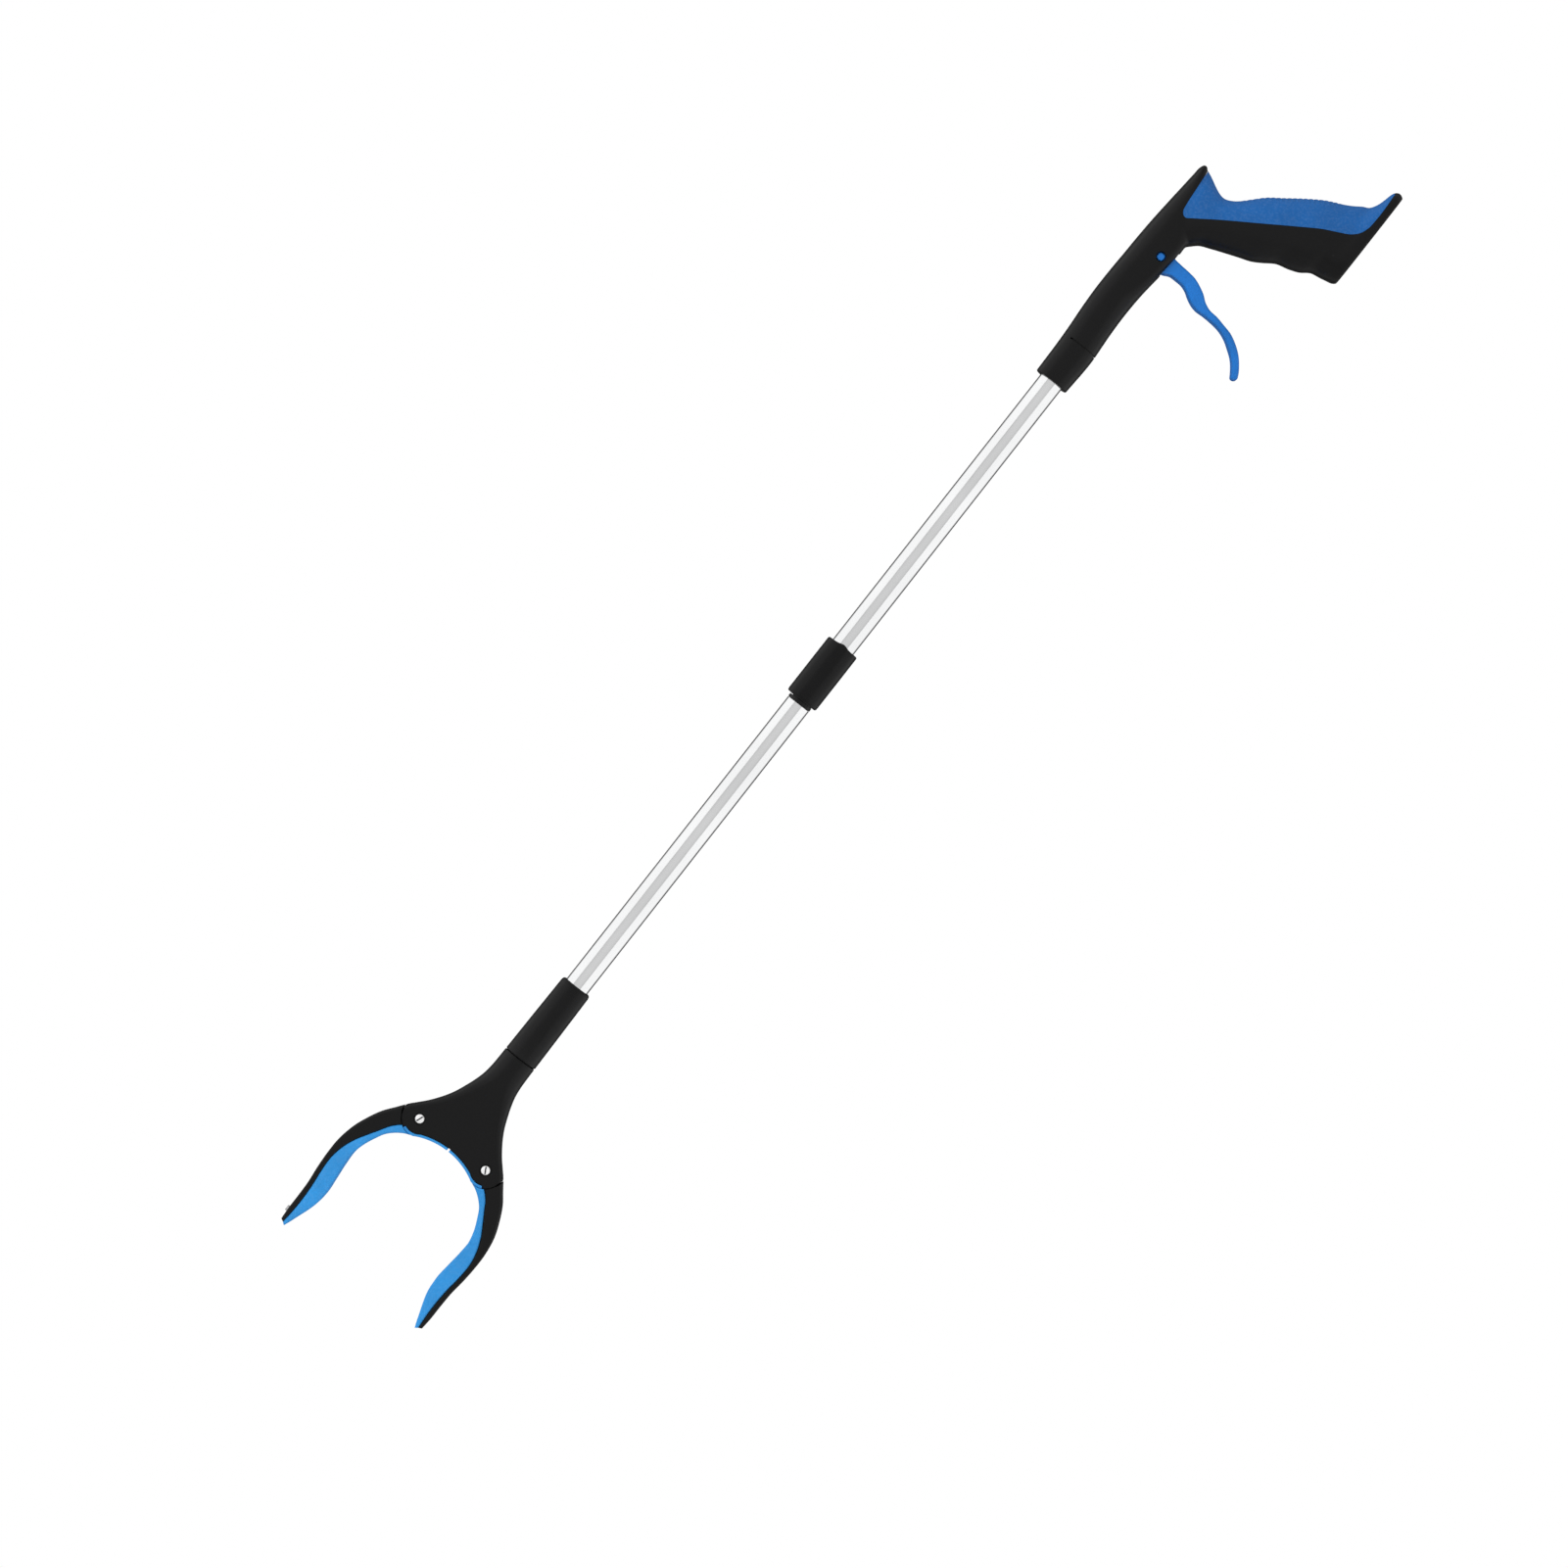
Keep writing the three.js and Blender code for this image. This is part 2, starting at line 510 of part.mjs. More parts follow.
function buildNeck() {
  const tubeSeat = NECK_HIGH - TUBE_SEAT_DEPTH;
  const outer = turnX([
    [NECK_LOW, 0], [NECK_LOW, NECK_RADIUS], [NECK_LOW + 27, 10.3], [NECK_HIGH - 1.5, 9.9],
    [NECK_HIGH, 8.6], [NECK_HIGH, 0],
  ]);
  const { low, high, inner, outer: grooveRadius } = SNAP_GROOVE;
  const bores = union([
    rodX(tubeSeat, NECK_HIGH + 1, TUBE_RADIUS + 0.2, 0, 0, TUBE_SIDES),
    rodX(NECK_LOW - 1, tubeSeat - 2, SPIGOT_BORE, 0, 0, TUBE_SIDES),
    rodX(low, high, grooveRadius, 0, 0, TUBE_SIDES),
    rodX(NECK_LOW, NECK_HIGH, 3, 0, 0, 24),
  ]);
  const { x, shank, hole, head, seat, seatFloor } = NECK_SCREW;
  const screwRoom = rodY(0, 12, hole, x, 0).add(rodY(seatFloor, 12, seat, x, 0));
  addNode('neck_collar', outer.subtract(bores.add(screwRoom)), BLACK);
  const under = seatFloor + 0.1;
  const screw = turnY([[5.6, 0], [5.6, shank], [under, shank], [under, head], [10.2, 1.9], [10.2, 0]], x, 0);
  addNode('neck_collar_screw', screw, STEEL);
  const ring = pipe(low + GAP, high - GAP, grooveRadius - 0.25, inner + 0.25);
  addNode('swivel_snap_ring', ring.subtract(block(low, high, -1.5, 1.5, 5, 12)), STEEL);
}

// ---------------------------------------------------------------- head

// Head sections: distance behind the jaw pivots, half height, half width and squareness.
const HEAD_SECTIONS = [
  [-14, 37.5, 11.5, 7],
  [0, 37.2, 11.5, 7],
  [5, 32.8, 11.5, 6],
  [10, 28.3, 11.5, 5.5],
  [15, 24.5, 11.5, 5],
  [20, 21.2, 11.5, 4.5],
  [25, 18.5, 11.5, 4],
  [31, 16, 11.5, 3.4],
  [38, 13.5, 11.4, 2.8],
  [44, 11.8, 11.2, 2.4],
  [49, 11.1, 11, 2.1],
  [64, 10.7, 10.7, 2],
];

// Head and jaw shapes are measured along X from the station of the jaw pivots.
function fromPivots(x) {
  return JAW_PIVOT.x + x;
}

// Points [x, z] put in place, mirrored to the lower half by a side of -1.
function placed(points, side = 1) {
  return points.map(([x, z]) => [fromPivots(x), z * side]);
}

// Half an outline, closed by its mirror image below the tube's centre line.
function bothHalves(points) {
  return [...points, ...points.map(([x, z]) => [x, -z]).reverse()];
}

function headLoft(inset) {
  return loft(HEAD_SECTIONS.map(([x, halfHeight, halfWidth, power]) => (
    oval(halfWidth - inset, halfHeight - inset, power, 18)
      .map(([y, z]) => new THREE.Vector3(fromPivots(x), y, z))
  )));
}

// The hub round a pivot is widest at the flank, and steps down to the front under the palm strip.
const HUB_STOPS = [90, 103, 117, 129, 141, 152, 156, 168, 180, 192, 204];

function hubRadius(degrees, front) {
  const knots = [[90, HUB.flank], [117, HUB.radius], [152, HUB.radius], [156, front]];
  const next = knots.findIndex(([angle]) => angle >= degrees);
  if (next === 0) return HUB.flank;
  if (next < 0) return front;
  const [[a, from], [b, to]] = [knots[next - 1], knots[next]];
  return THREE.MathUtils.mapLinear(degrees, a, b, from, to);
}

function hub(side, extra, first, last, front = HUB.front) {
  const between = HUB_STOPS.filter((degrees) => degrees > first && degrees < last);
  return [first, ...between, last].map((degrees) => {
    const angle = THREE.MathUtils.degToRad(degrees);
    const radius = hubRadius(degrees, front) + extra;
    return [JAW_PIVOT.x + radius * Math.cos(angle), side * (JAW_PIVOT.z + radius * Math.sin(angle))];
  });
}

function headOutline() {
  const { x, radius, halfAngle } = HEAD_FRONT;
  const front = arc(fromPivots(x), 0, radius, halfAngle, halfAngle / 9, 4);
  return bothHalves([[fromPivots(NECK_END), 40], [fromPivots(4), 40], ...hub(1, 0, 90, 222), ...front]);
}

function headBody() {
  const width = HEAD_ROOM_HALF_WIDTH;
  const outer = headLoft(0).intersect(prism(headOutline(), -30, 30));
  const frontWall = rodY(-30, 30, HEAD_FRONT.radius + FRONT_WALL, fromPivots(HEAD_FRONT.x), 0, 72);
  const room = slab(headLoft(HEAD_WALL), fromPivots(-13), fromPivots(36));
  const side = bothHalves([[-13, 35], [0, 34.6], [5, 30.2], [10, 25.7], [14, 22.4]]);
  const sideRoom = prism(placed(side), -width, width);
  const door = [[2.5, 45], [2.5, 30], [-4.5, 19.3], [-30, 19.3], [-30, 45]];
  const doors = [1, -1].map((half) => prism(placed(door, half), -width, width));
  const bosses = HEAD_SCREWS.map(([x, z]) => rodY(-10, 10, 3.2, fromPivots(x), z).intersect(headLoft(1)));
  const spigot = rodX(fromPivots(NECK_END - 2), SPIGOT_END, SPIGOT_RADIUS, 0, 0, TUBE_SIDES);
  const hollow = outer.subtract(union([room.add(sideRoom).subtract(frontWall), ...doors]));
  return union([hollow, spigot, ...bosses]).subtract(union([
    pipe(SNAP_GROOVE.low, SNAP_GROOVE.high, 12, SNAP_GROOVE.inner),
    rodX(fromPivots(8), fromPivots(35), SPRING.room),
    rodX(fromPivots(30), fromPivots(92), CABLE_BORE + 0.4, 0, 0, 8),
  ]));
}

function pivotScrewRooms() {
  return union([1, -1].flatMap((side) => {
    const z = JAW_PIVOT.z * side;
    return [
      rodY(-14, 14, PIVOT_SCREW.shank + 0.35, JAW_PIVOT.x, z),
      rodY(-14, -10.6, PIVOT_SCREW.seat, JAW_PIVOT.x, z),
      rodY(10.4, 14, PIVOT_SCREW.nutSeat, JAW_PIVOT.x, z),
    ];
  }));
}

function buildHeadScrews() {
  HEAD_SCREWS.forEach(([offset, z], i) => {
    const x = fromPivots(offset);
    const profile = [[-7, 0], [-7, 1.2], [9.4, 1.2], [9.4, 2.3], [10.4, 2.3], [10.8, 1.9], [10.8, 0]];
    const slot = block(x - 3, x + 3, 10.2, 12, z - 0.35, z + 0.35);
    addNode(`head_screw_${i + 1}`, turnY(profile, x, z).subtract(slot), STEEL);
  });
}

function buildPivots() {
  const { x } = JAW_PIVOT;
  const { shank, head, bushHole } = PIVOT_SCREW;
  [['upper', 1], ['lower', -1]].forEach(([name, side]) => {
    const z = JAW_PIVOT.z * side;
    const profile = [
      [-12, 0], [-12, 1.7], [-11.6, 2.4], [-11.2, head], [-10.8, head], [-10.8, shank],
      [11.6, shank], [11.6, 0],
    ];
    const slot = block(x - 4, x + 4, -13, -11.2, z - 0.4, z + 0.4);
    addNode(`pivot_screw_${name}`, turnY(profile, x, z, 20).subtract(slot), STEEL);
    const nut = rodY(10.7, 12.6, 3.4, x, z, 6).subtract(rodY(8, 14, shank + 0.2, x, z));
    addNode(`pivot_nut_${name}`, nut, STEEL);
    const bush = rodY(-BUSH.halfLength, BUSH.halfLength, BUSH.radius, x, z);
    addNode(`pivot_bush_${name}`, bush.subtract(rodY(-12, 12, bushHole, x, z)), NYLON);
  });
}

function buildHead() {
  const body = headBody().subtract(pivotScrewRooms());
  const frontSide = block(-700, -400, -40, -SEAM_GAP / 2, -60, 60);
  const rearSide = block(-700, -400, SEAM_GAP / 2, 40, -60, 60);
  const threads = HEAD_SCREWS.map(([x, z]) => rodY(-8, 2, 1.4, fromPivots(x), z));
  const seats = HEAD_SCREWS.map(([x, z]) => (
    rodY(0, 14, 1.6, fromPivots(x), z).add(rodY(9.2, 14, 2.6, fromPivots(x), z))
  ));
  addNode('head_shell_front', body.intersect(frontSide).subtract(union(threads)), BLACK);
  addNode('head_shell_rear', body.intersect(rearSide).subtract(union(seats)), BLACK);
  buildHeadScrews();
  buildPivots();
}

// Soft facings across the palm, each wrapped part of the way round its hub under the jaw's pad.
// Between the walls they stop short, which leaves room for the jaw's cheeks to swing.
function buildPalmStrips() {
  const { x, radius, halfWidth, wrapFrom, wrapTo, reach } = PALM;
  [['upper', 1], ['lower', -1]].forEach(([name, side]) => {
    const wrap = hub(side, 0, wrapFrom, wrapTo, HUB.radius);
    const face = arc(fromPivots(x), 0, radius, reach * side, 1.2 * side, 10).slice(1);
    const backRadius = HEAD_FRONT.radius - GAP;
    const back = arc(fromPivots(HEAD_FRONT.x), 0, backRadius, 1.1 * side, 19.5 * side, 8);
    const under = hub(side, GAP, wrapFrom, 220).reverse();
    const strip = prism([...wrap, ...face, ...back, ...under], -halfWidth, halfWidth);
    const swing = placed([...arc(0, JAW_PIVOT.z, 16, 150, 197, 4), [0, JAW_PIVOT.z]], side);
    const cheekRoom = prism(swing, -HEAD_ROOM_HALF_WIDTH, HEAD_ROOM_HALF_WIDTH);
    addNode(`palm_strip_${name}`, strip.subtract(cheekRoom), PAD);
  });
}

// ---------------------------------------------------------------- crosshead and spring

function buildCrosshead() {
  const half = [
    [0.6, 0.1], [-0.3, 8], [-2.7, 16.5], [-2.8, 18.8], [-0.9, 19.9], [1.3, 18.6], [4.5, 8],
    [6.5, 4], [7, 0.1],
  ];
  const arms = prism(placed(bothHalves(half)), -2.5, 2.5);
  const boss = rodX(fromPivots(0.6), fromPivots(8), 4.5);
  const pinEnd = FORK.outer - 0.3;
  const pins = [1, -1].map((side) => (
    rodY(-pinEnd, pinEnd, CROSS_PIN.radius, fromPivots(CROSS_PIN.x), side * (JAW_PIVOT.z - CROSS_PIN.reach))
  ));
  const pocket = rodX(fromPivots(0), fromPivots(4), 2.35, 0, 0, 12);
  const bore = rodX(fromPivots(0), fromPivots(9), 1.2, 0, 0, 8);
  addNode('crosshead', union([arms, boss, ...pins]).subtract(pocket.add(bore)), NYLON);
  const ferrule = rodX(fromPivots(0.8), fromPivots(3.7), 1.9, 0, 0, 12);
  const ferruleBore = rodX(fromPivots(0), fromPivots(5), 1.05, 0, 0, 8);
  addNode('cable_ferrule_front', ferrule.subtract(ferruleBore), STEEL);
  const cable = rodX(fromPivots(1), FOLD_PIN.x - 4.2, CABLE_RADIUS, 0, 0, 12);
  addNode('pull_cable_lower', cable, STEEL);
}

function buildSpring() {
  const { low, high, radius, wire: wireRadius, turns } = SPRING;
  const sides = 8;
  const steps = turns * sides;
  const along = new THREE.Vector3(1, 0, 0);
  const rings = Array.from({ length: steps + 1 }, (_, i) => {
    const angle = (2 * Math.PI * i) / sides;
    const x = fromPivots(low + ((high - low) * i) / steps);
    const outward = new THREE.Vector3(0, Math.cos(angle), Math.sin(angle));
    const centre = outward.clone().multiplyScalar(radius).setX(x);
    return oval(wireRadius, wireRadius, 2, 5).map(([a, b]) => (
      centre.clone().addScaledVector(along, a).addScaledVector(outward, b)
    ));
  });
  addNode('jaw_opening_spring', loft(rings), STEEL);
  const seatLow = fromPivots(high + 0.7);
  addNode('spring_seat_washer', pipe(seatLow, seatLow + 0.9, 5.2, 2.3), STEEL);
}

// ---------------------------------------------------------------- jaws

// Outlines measured from the pivots' station and the tube's centre line.
const JAW_OUTER = [
  [-5, 40.8], [-12, 45.9], [-20, 50], [-30, 53.8], [-45, 55.7], [-60, 55], [-80, 53.6], [-96, 53.3],
];
const JAW_SEAM = [
  [-97.5, 50.8], [-88, 50.1], [-72, 50.4], [-55, 51.9], [-42, 50.6], [-26, 42.9], [-13.4, 35], [-9.6, 30.5],
];
const PAD_INNER = [
  [-96, 47.8], [-90, 45.8], [-80, 42.4], [-70, 41.2], [-55, 42.7], [-42, 43.3], [-30, 40.5],
  [-20, 35.5], [-12.5, 26.7], [-10.4, 21.6],
];
const JAW_ROOT = [
  [2, 30.7], [-1, 35.2], [-5, 40.2], [-14, 46], [-15.5, 38.3], [-9.2, 31.6], [-8.4, 26], [-6, 23.3],
  [-4, 20], [0, 20],
];

// What a jaw leaves clear round the head's hub.
function hubRoom(side) {
  const edge = hub(side, HUB.clearance, 60, 240, HUB.radius);
  return prism([...edge, ...placed([[14, 12], [14, 45]], side)], -20, 20);
}

// A bar across the lever that the crosshead's pin works, between two distances from the pivot.
function lever(side, halfWidth, near, far) {
  const lag = Math.atan2(CROSS_PIN.x, CROSS_PIN.reach);
  const corners = [[-halfWidth, near], [halfWidth, near], [halfWidth, far], [-halfWidth, far]];
  return corners.map(([across, along]) => [
    JAW_PIVOT.x + along * Math.sin(lag) + across * Math.cos(lag),
    side * (JAW_PIVOT.z - along * Math.cos(lag) + across * Math.sin(lag)),
  ]);
}

function jawBody(side) {
  const outline = [[0.5, 36.6], ...smooth(JAW_OUTER, 12), [-98.2, 52.4], ...smooth(JAW_SEAM, 14), [-7, 26]];
  const wide = prism(placed(outline, side), -JAW_HALF_WIDTH, JAW_HALF_WIDTH, 0.8).subtract(hubRoom(side));
  const cheeks = prism(placed(JAW_ROOT, side), -FORK.outer, FORK.outer);
  const z = side * JAW_PIVOT.z;
  const eye = rodY(-FORK.outer, FORK.outer, 6.2, JAW_PIVOT.x, z, 20);
  const arm = prism(lever(side, 3.2, 0, 8.2), -FORK.outer, FORK.outer);
  return union([wide, cheeks, eye, arm]).subtract(union([
    prism(lever(side, CROSS_PIN.radius + 0.35, 5.3, 12), -20, 20),
    rodY(-FORK.inner, FORK.inner, FORK.radius, JAW_PIVOT.x, z, 24),
    rodY(-20, 20, BUSH.hole, JAW_PIVOT.x, z),
  ]));
}

function jawPad(side) {
  const seam = grown(smooth(JAW_SEAM, 14), GAP);
  const inner = smooth(PAD_INNER, 16).reverse();
  const outline = placed([...seam, ...inner, [-98.6, 49.2]], side);
  return prism(outline, -JAW_HALF_WIDTH, JAW_HALF_WIDTH).subtract(hubRoom(side));
}

function buildJaws() {
  [['upper', 1], ['lower', -1]].forEach(([name, side]) => {
    const seat = rodZ(MAGNET.low - 0.2, 60, MAGNET.radius + 0.2, MAGNET.x, 0);
    const body = side > 0 ? jawBody(side).subtract(seat) : jawBody(side);
    addNode(`jaw_${name}`, body, BLACK);
    addNode(`jaw_pad_${name}`, jawPad(side), PAD);
  });
  addNode('tip_magnet', rodZ(MAGNET.low, MAGNET.high, MAGNET.radius, MAGNET.x, 0), STEEL);
}

// ---------------------------------------------------------------- assembly

buildHandle();
buildUpperTube();
buildTrigger();
buildUpperCable();
buildFoldJoint();
buildLockSleeve();
buildNeck();
buildHead();
buildPalmStrips();
buildCrosshead();
buildSpring();
buildJaws();

export default part;
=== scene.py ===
import json
import math

import bpy
import numpy as np
from mathutils import Matrix, Vector


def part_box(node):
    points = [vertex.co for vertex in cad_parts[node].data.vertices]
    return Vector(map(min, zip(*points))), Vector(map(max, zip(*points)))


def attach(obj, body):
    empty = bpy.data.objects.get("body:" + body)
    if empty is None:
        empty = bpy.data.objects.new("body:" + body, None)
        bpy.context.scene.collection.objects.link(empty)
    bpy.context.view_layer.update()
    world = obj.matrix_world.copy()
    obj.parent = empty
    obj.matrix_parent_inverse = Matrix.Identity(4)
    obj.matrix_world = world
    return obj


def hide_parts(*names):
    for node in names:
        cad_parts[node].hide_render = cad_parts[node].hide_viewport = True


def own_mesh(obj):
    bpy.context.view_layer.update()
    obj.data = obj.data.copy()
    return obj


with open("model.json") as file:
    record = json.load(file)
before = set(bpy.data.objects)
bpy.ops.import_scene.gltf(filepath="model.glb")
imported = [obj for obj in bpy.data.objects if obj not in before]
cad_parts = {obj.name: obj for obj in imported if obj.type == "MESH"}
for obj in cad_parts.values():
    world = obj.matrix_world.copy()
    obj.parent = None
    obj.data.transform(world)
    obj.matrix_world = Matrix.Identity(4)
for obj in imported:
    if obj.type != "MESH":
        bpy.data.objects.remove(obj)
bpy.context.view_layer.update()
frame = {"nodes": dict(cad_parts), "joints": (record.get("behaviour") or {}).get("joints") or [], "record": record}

# ------------------------------------------------------------------ places taken from the frame

# Shapes are drawn in millimetres, x from the handle's collar mouth and z from the tube's centre line.
MM = 0.001
JOINTS = {joint["name"]: joint for joint in frame["joints"]}


def middle(node):
    """The middle of a CAD node's box, in metres."""
    low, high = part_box(node)
    return (low + high) / 2


MOUTH = Vector((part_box("handle_shell_left")[0].x, 0, middle("upper_tube").z))


def in_mm(point):
    """A place in the frame as millimetres from the collar's mouth."""
    return (Vector(point) - MOUTH) / MM


SEAM = (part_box("handle_shell_left")[1].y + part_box("handle_shell_right")[0].y) / 2 / MM
TRIGGER_PIVOT = in_mm(JOINTS["trigger_pull"]["pos_m"])
JAW_PIVOT = in_mm(JOINTS["jaw_upper_close"]["pos_m"])
NECK_LINE = in_mm(JOINTS["head_swivel"]["pos_m"]).x
SLEEVE_LOW, SLEEVE_HIGH = (in_mm(corner).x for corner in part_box("lock_sleeve"))
NECK_HIGH = in_mm(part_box("neck_collar")[1]).x
TUBE_RADIUS = in_mm(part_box("upper_tube")[1]).z

# ------------------------------------------------------------------ curves and rings


def tangents(knots, values):
    """Slopes at each knot for a smooth line through the values."""
    step = np.diff(knots)[:, None]
    run = np.diff(values, axis=0) / step
    slope = np.empty_like(values)
    slope[0], slope[-1] = run[0], run[-1]
    slope[1:-1] = (run[:-1] * step[1:] + run[1:] * step[:-1]) / (step[1:] + step[:-1])
    return slope


def interpolate(knots, values, where):
    """Cubic stretches between the knots, read at the places asked."""
    knots, values, where = np.asarray(knots, float), np.asarray(values, float), np.asarray(where, float)
    slope = tangents(knots, values)
    i = np.clip(np.searchsorted(knots, where) - 1, 0, len(knots) - 2)
    width = (knots[i + 1] - knots[i])[:, None]
    t = ((where - knots[i]) / (knots[i + 1] - knots[i]))[:, None]
    near = (2 * t**3 - 3 * t**2 + 1) * values[i] + (t**3 - 2 * t**2 + t) * width * slope[i]
    far = (3 * t**2 - 2 * t**3) * values[i + 1] + (t**3 - t**2) * width * slope[i + 1]
    return near + far


def curve(points, count):
    """A smooth open line through a few points, as evenly spread samples."""
    points = np.asarray(points, float)
    reach = np.concatenate([[0], np.cumsum(np.linalg.norm(np.diff(points, axis=0), axis=1))])
    return interpolate(reach, points, np.linspace(0, reach[-1], count))


def offset_line(line, distance):
    """The line moved sideways, to its right for distances above 0; one distance, or one at each point."""
    run = np.gradient(line, axis=0)
    run /= np.linalg.norm(run, axis=1)[:, None]
    return line + np.reshape(distance, (-1, 1)) * np.column_stack([run[:, 1], -run[:, 0]])


def profile(table, where):
    """Columns of a table, smooth in its first column, at the places asked."""
    table = np.asarray(sorted(table), float)
    return interpolate(table[:, 0], table[:, 1:], where)


def arc(centre, radius, start, end, count):
    """Points on a circle from a start to an end angle, in degrees."""
    angle = np.radians(np.linspace(start, end, count))
    return np.column_stack([centre[0] + radius * np.cos(angle), centre[1] + radius * np.sin(angle)])


def oval(half_a, half_b, power, count):
    """A ring of points; a power of 2 is an ellipse and higher powers are squarer."""
    angle = 2 * math.pi * np.arange(count) / count
    c, s = np.cos(angle), np.sin(angle)
    return np.column_stack([
        half_a * np.sign(c) * np.abs(c) ** (2 / power),
        half_b * np.sign(s) * np.abs(s) ** (2 / power),
    ])


def rounded(half_a, half_b, radius, count):
    """A rectangle with round corners."""
    radius = min(radius, half_a * 0.98, half_b * 0.98)
    corners = []
    for quarter, (sa, sb) in enumerate(((1, 1), (-1, 1), (-1, -1), (1, -1))):
        centre = (sa * (half_a - radius), sb * (half_b - radius))
        corners.append(arc(centre, radius, 90 * quarter, 90 * quarter + 90, count // 4))
    return np.vstack(corners)


# ------------------------------------------------------------------ mesh building


def make(name, points, faces):
    """An object from points in millimetres and lists of their numbers."""
    points = np.asarray(points, float) * MM + np.array(MOUTH)
    mesh = bpy.data.meshes.new(name)
    mesh.from_pydata(points.tolist(), [], [list(face) for face in faces])
    mesh.validate()
    obj = bpy.data.objects.new(name, mesh)
    bpy.context.scene.collection.objects.link(obj)
    return obj


def skin(name, rings, closed=False):
    """A skin over matching rings. Open stacks get flat ends, closed ones join round."""
    count, sides = len(rings), len(rings[0])
    points = np.vstack(rings)
    faces = []
    for ring in range(count if closed else count - 1):
        here, there = ring * sides, ((ring + 1) % count) * sides
        for i in range(sides):
            j = (i + 1) % sides
            faces.append((here + i, here + j, there + j, there + i))
    if not closed:
        faces.append(tuple(range(sides))[::-1])
        faces.append(tuple(range((count - 1) * sides, count * sides)))
    return make(name, points, faces)


def turned(name, outline, sides=96, ring_shift=None):
    """A closed outline of (x, radius) points turned about the tube's centre line into a ring or sleeve."""
    angle = 2 * math.pi * np.arange(sides) / sides
    rings = []
    for x, radius in outline:
        station = np.full(sides, float(x))
        if ring_shift is not None:
            station = station + ring_shift(x, angle)
        rings.append(np.column_stack([station, radius * np.cos(angle), radius * np.sin(angle)]))
    return skin(name, rings, closed=True)


def bar(name, outline, sides, along="X", centre=(0, 0, 0)):
    """An open profile of (place, radius) points turned into a solid with flat ends."""
    angle = 2 * math.pi * np.arange(sides) / sides
    rings = []
    for place, radius in outline:
        a, b = radius * np.cos(angle), radius * np.sin(angle)
        station = np.full(sides, float(place))
        if along == "X":
            rings.append(np.column_stack([station, a, b]) + centre)
        elif along == "Y":
            rings.append(np.column_stack([b, station, a]) + centre)
        else:
            rings.append(np.column_stack([a, b, station]) + centre)
    return skin(name, rings)


def plate(name, outline, low, high):
    """An (x, z) outline carried along Y from low to high."""
    outline = np.asarray(outline, float)
    area = np.sum(outline[:, 0] * np.roll(outline[:, 1], -1) - outline[:, 1] * np.roll(outline[:, 0], -1))
    if area > 0:
        outline = outline[::-1]
    rings = [np.column_stack([outline[:, 0], np.full(len(outline), y), outline[:, 1]]) for y in (low, high)]
    return skin(name, rings)


def block(name, low, high):
    """A box between two opposite corners."""
    corners = [(low[0], low[2]), (high[0], low[2]), (high[0], high[2]), (low[0], high[2])]
    return plate(name, corners, low[1], high[1])


def bake(obj):
    """Replaces the object's mesh by the result of its modifiers."""
    graph = bpy.context.evaluated_depsgraph_get()
    graph.update()
    mesh = bpy.data.meshes.new_from_object(obj.evaluated_get(graph))
    obj.modifiers.clear()
    obj.data = mesh
    return obj


def combine(obj, tool, operation):
    """Cuts, joins or intersects with a tool solid, which is used up."""
    modifier = obj.modifiers.new("combine", "BOOLEAN")
    modifier.object, modifier.operation, modifier.solver = tool, operation, "MANIFOLD"
    bake(obj)
    bpy.data.objects.remove(tool)
    return obj


def cut(obj, *tools):
    for tool in tools:
        combine(obj, tool, "DIFFERENCE")
    return obj


def join(obj, *tools):
    for tool in tools:
        combine(obj, tool, "UNION")
    return obj


def common(obj, tool):
    return combine(obj, tool, "INTERSECT")


def melt(obj, voxel, passes):
    """Rebuilds the skin evenly and softens its creases, as moulded corners are."""
    remesh = obj.modifiers.new("remesh", "REMESH")
    remesh.mode, remesh.voxel_size = "VOXEL", voxel * MM
    smooth = obj.modifiers.new("smooth", "SMOOTH")
    smooth.factor, smooth.iterations = 0.5, passes
    return bake(obj)


def soften(obj, centre, reach, passes):
    """Rounds a fillet out further within a reach of a point on the side view."""
    mesh = obj.data
    points = np.empty(len(mesh.vertices) * 3)
    mesh.vertices.foreach_get("co", points)
    flat = (points.reshape(-1, 3) - np.array(MOUTH)) / MM
    distance = np.hypot(flat[:, 0] - centre[0], flat[:, 2] - centre[1])
    group = obj.vertex_groups.new(name="soft")
    levels = 6
    for level in range(levels):
        inside = (distance < reach * (1 - level / levels)) & (distance >= reach * (1 - (level + 1) / levels))
        group.add(np.flatnonzero(inside).tolist(), (level + 1) / levels, "REPLACE")
    smooth = obj.modifiers.new("smooth", "SMOOTH")
    smooth.factor, smooth.iterations, smooth.vertex_group = 0.5, passes, "soft"
    bake(obj)
    obj.vertex_groups.clear()
    return obj


def raise_ribs(obj, low, high, pitch, height, half_width):
    """Raises fine rounded ribs across the back of the grip."""
    mesh = obj.data
    points, normals = np.empty(len(mesh.vertices) * 3), np.empty(len(mesh.vertices) * 3)
    mesh.vertices.foreach_get("co", points)
    mesh.vertices.foreach_get("normal", normals)
    flat, out = (points.reshape(-1, 3) - np.array(MOUTH)) / MM, normals.reshape(-1, 3)
    chevron = flat[:, 2] + 0.35 * np.abs(flat[:, 1])
    wave = np.clip(np.sin(2 * math.pi * chevron / pitch), 0, 1) ** 0.7
    ends = np.clip((flat[:, 2] - low) / 4, 0, 1) * np.clip((high - flat[:, 2]) / 4, 0, 1)
    sides = np.clip((half_width - np.abs(flat[:, 1])) / 2, 0, 1)
    back = np.clip((out[:, 0] - 0.35) / 0.2, 0, 1)
    lift = height * MM * wave * ends * sides * back
    mesh.vertices.foreach_set("co", (points.reshape(-1, 3) + out * lift[:, None]).ravel())
    mesh.update()
    return obj


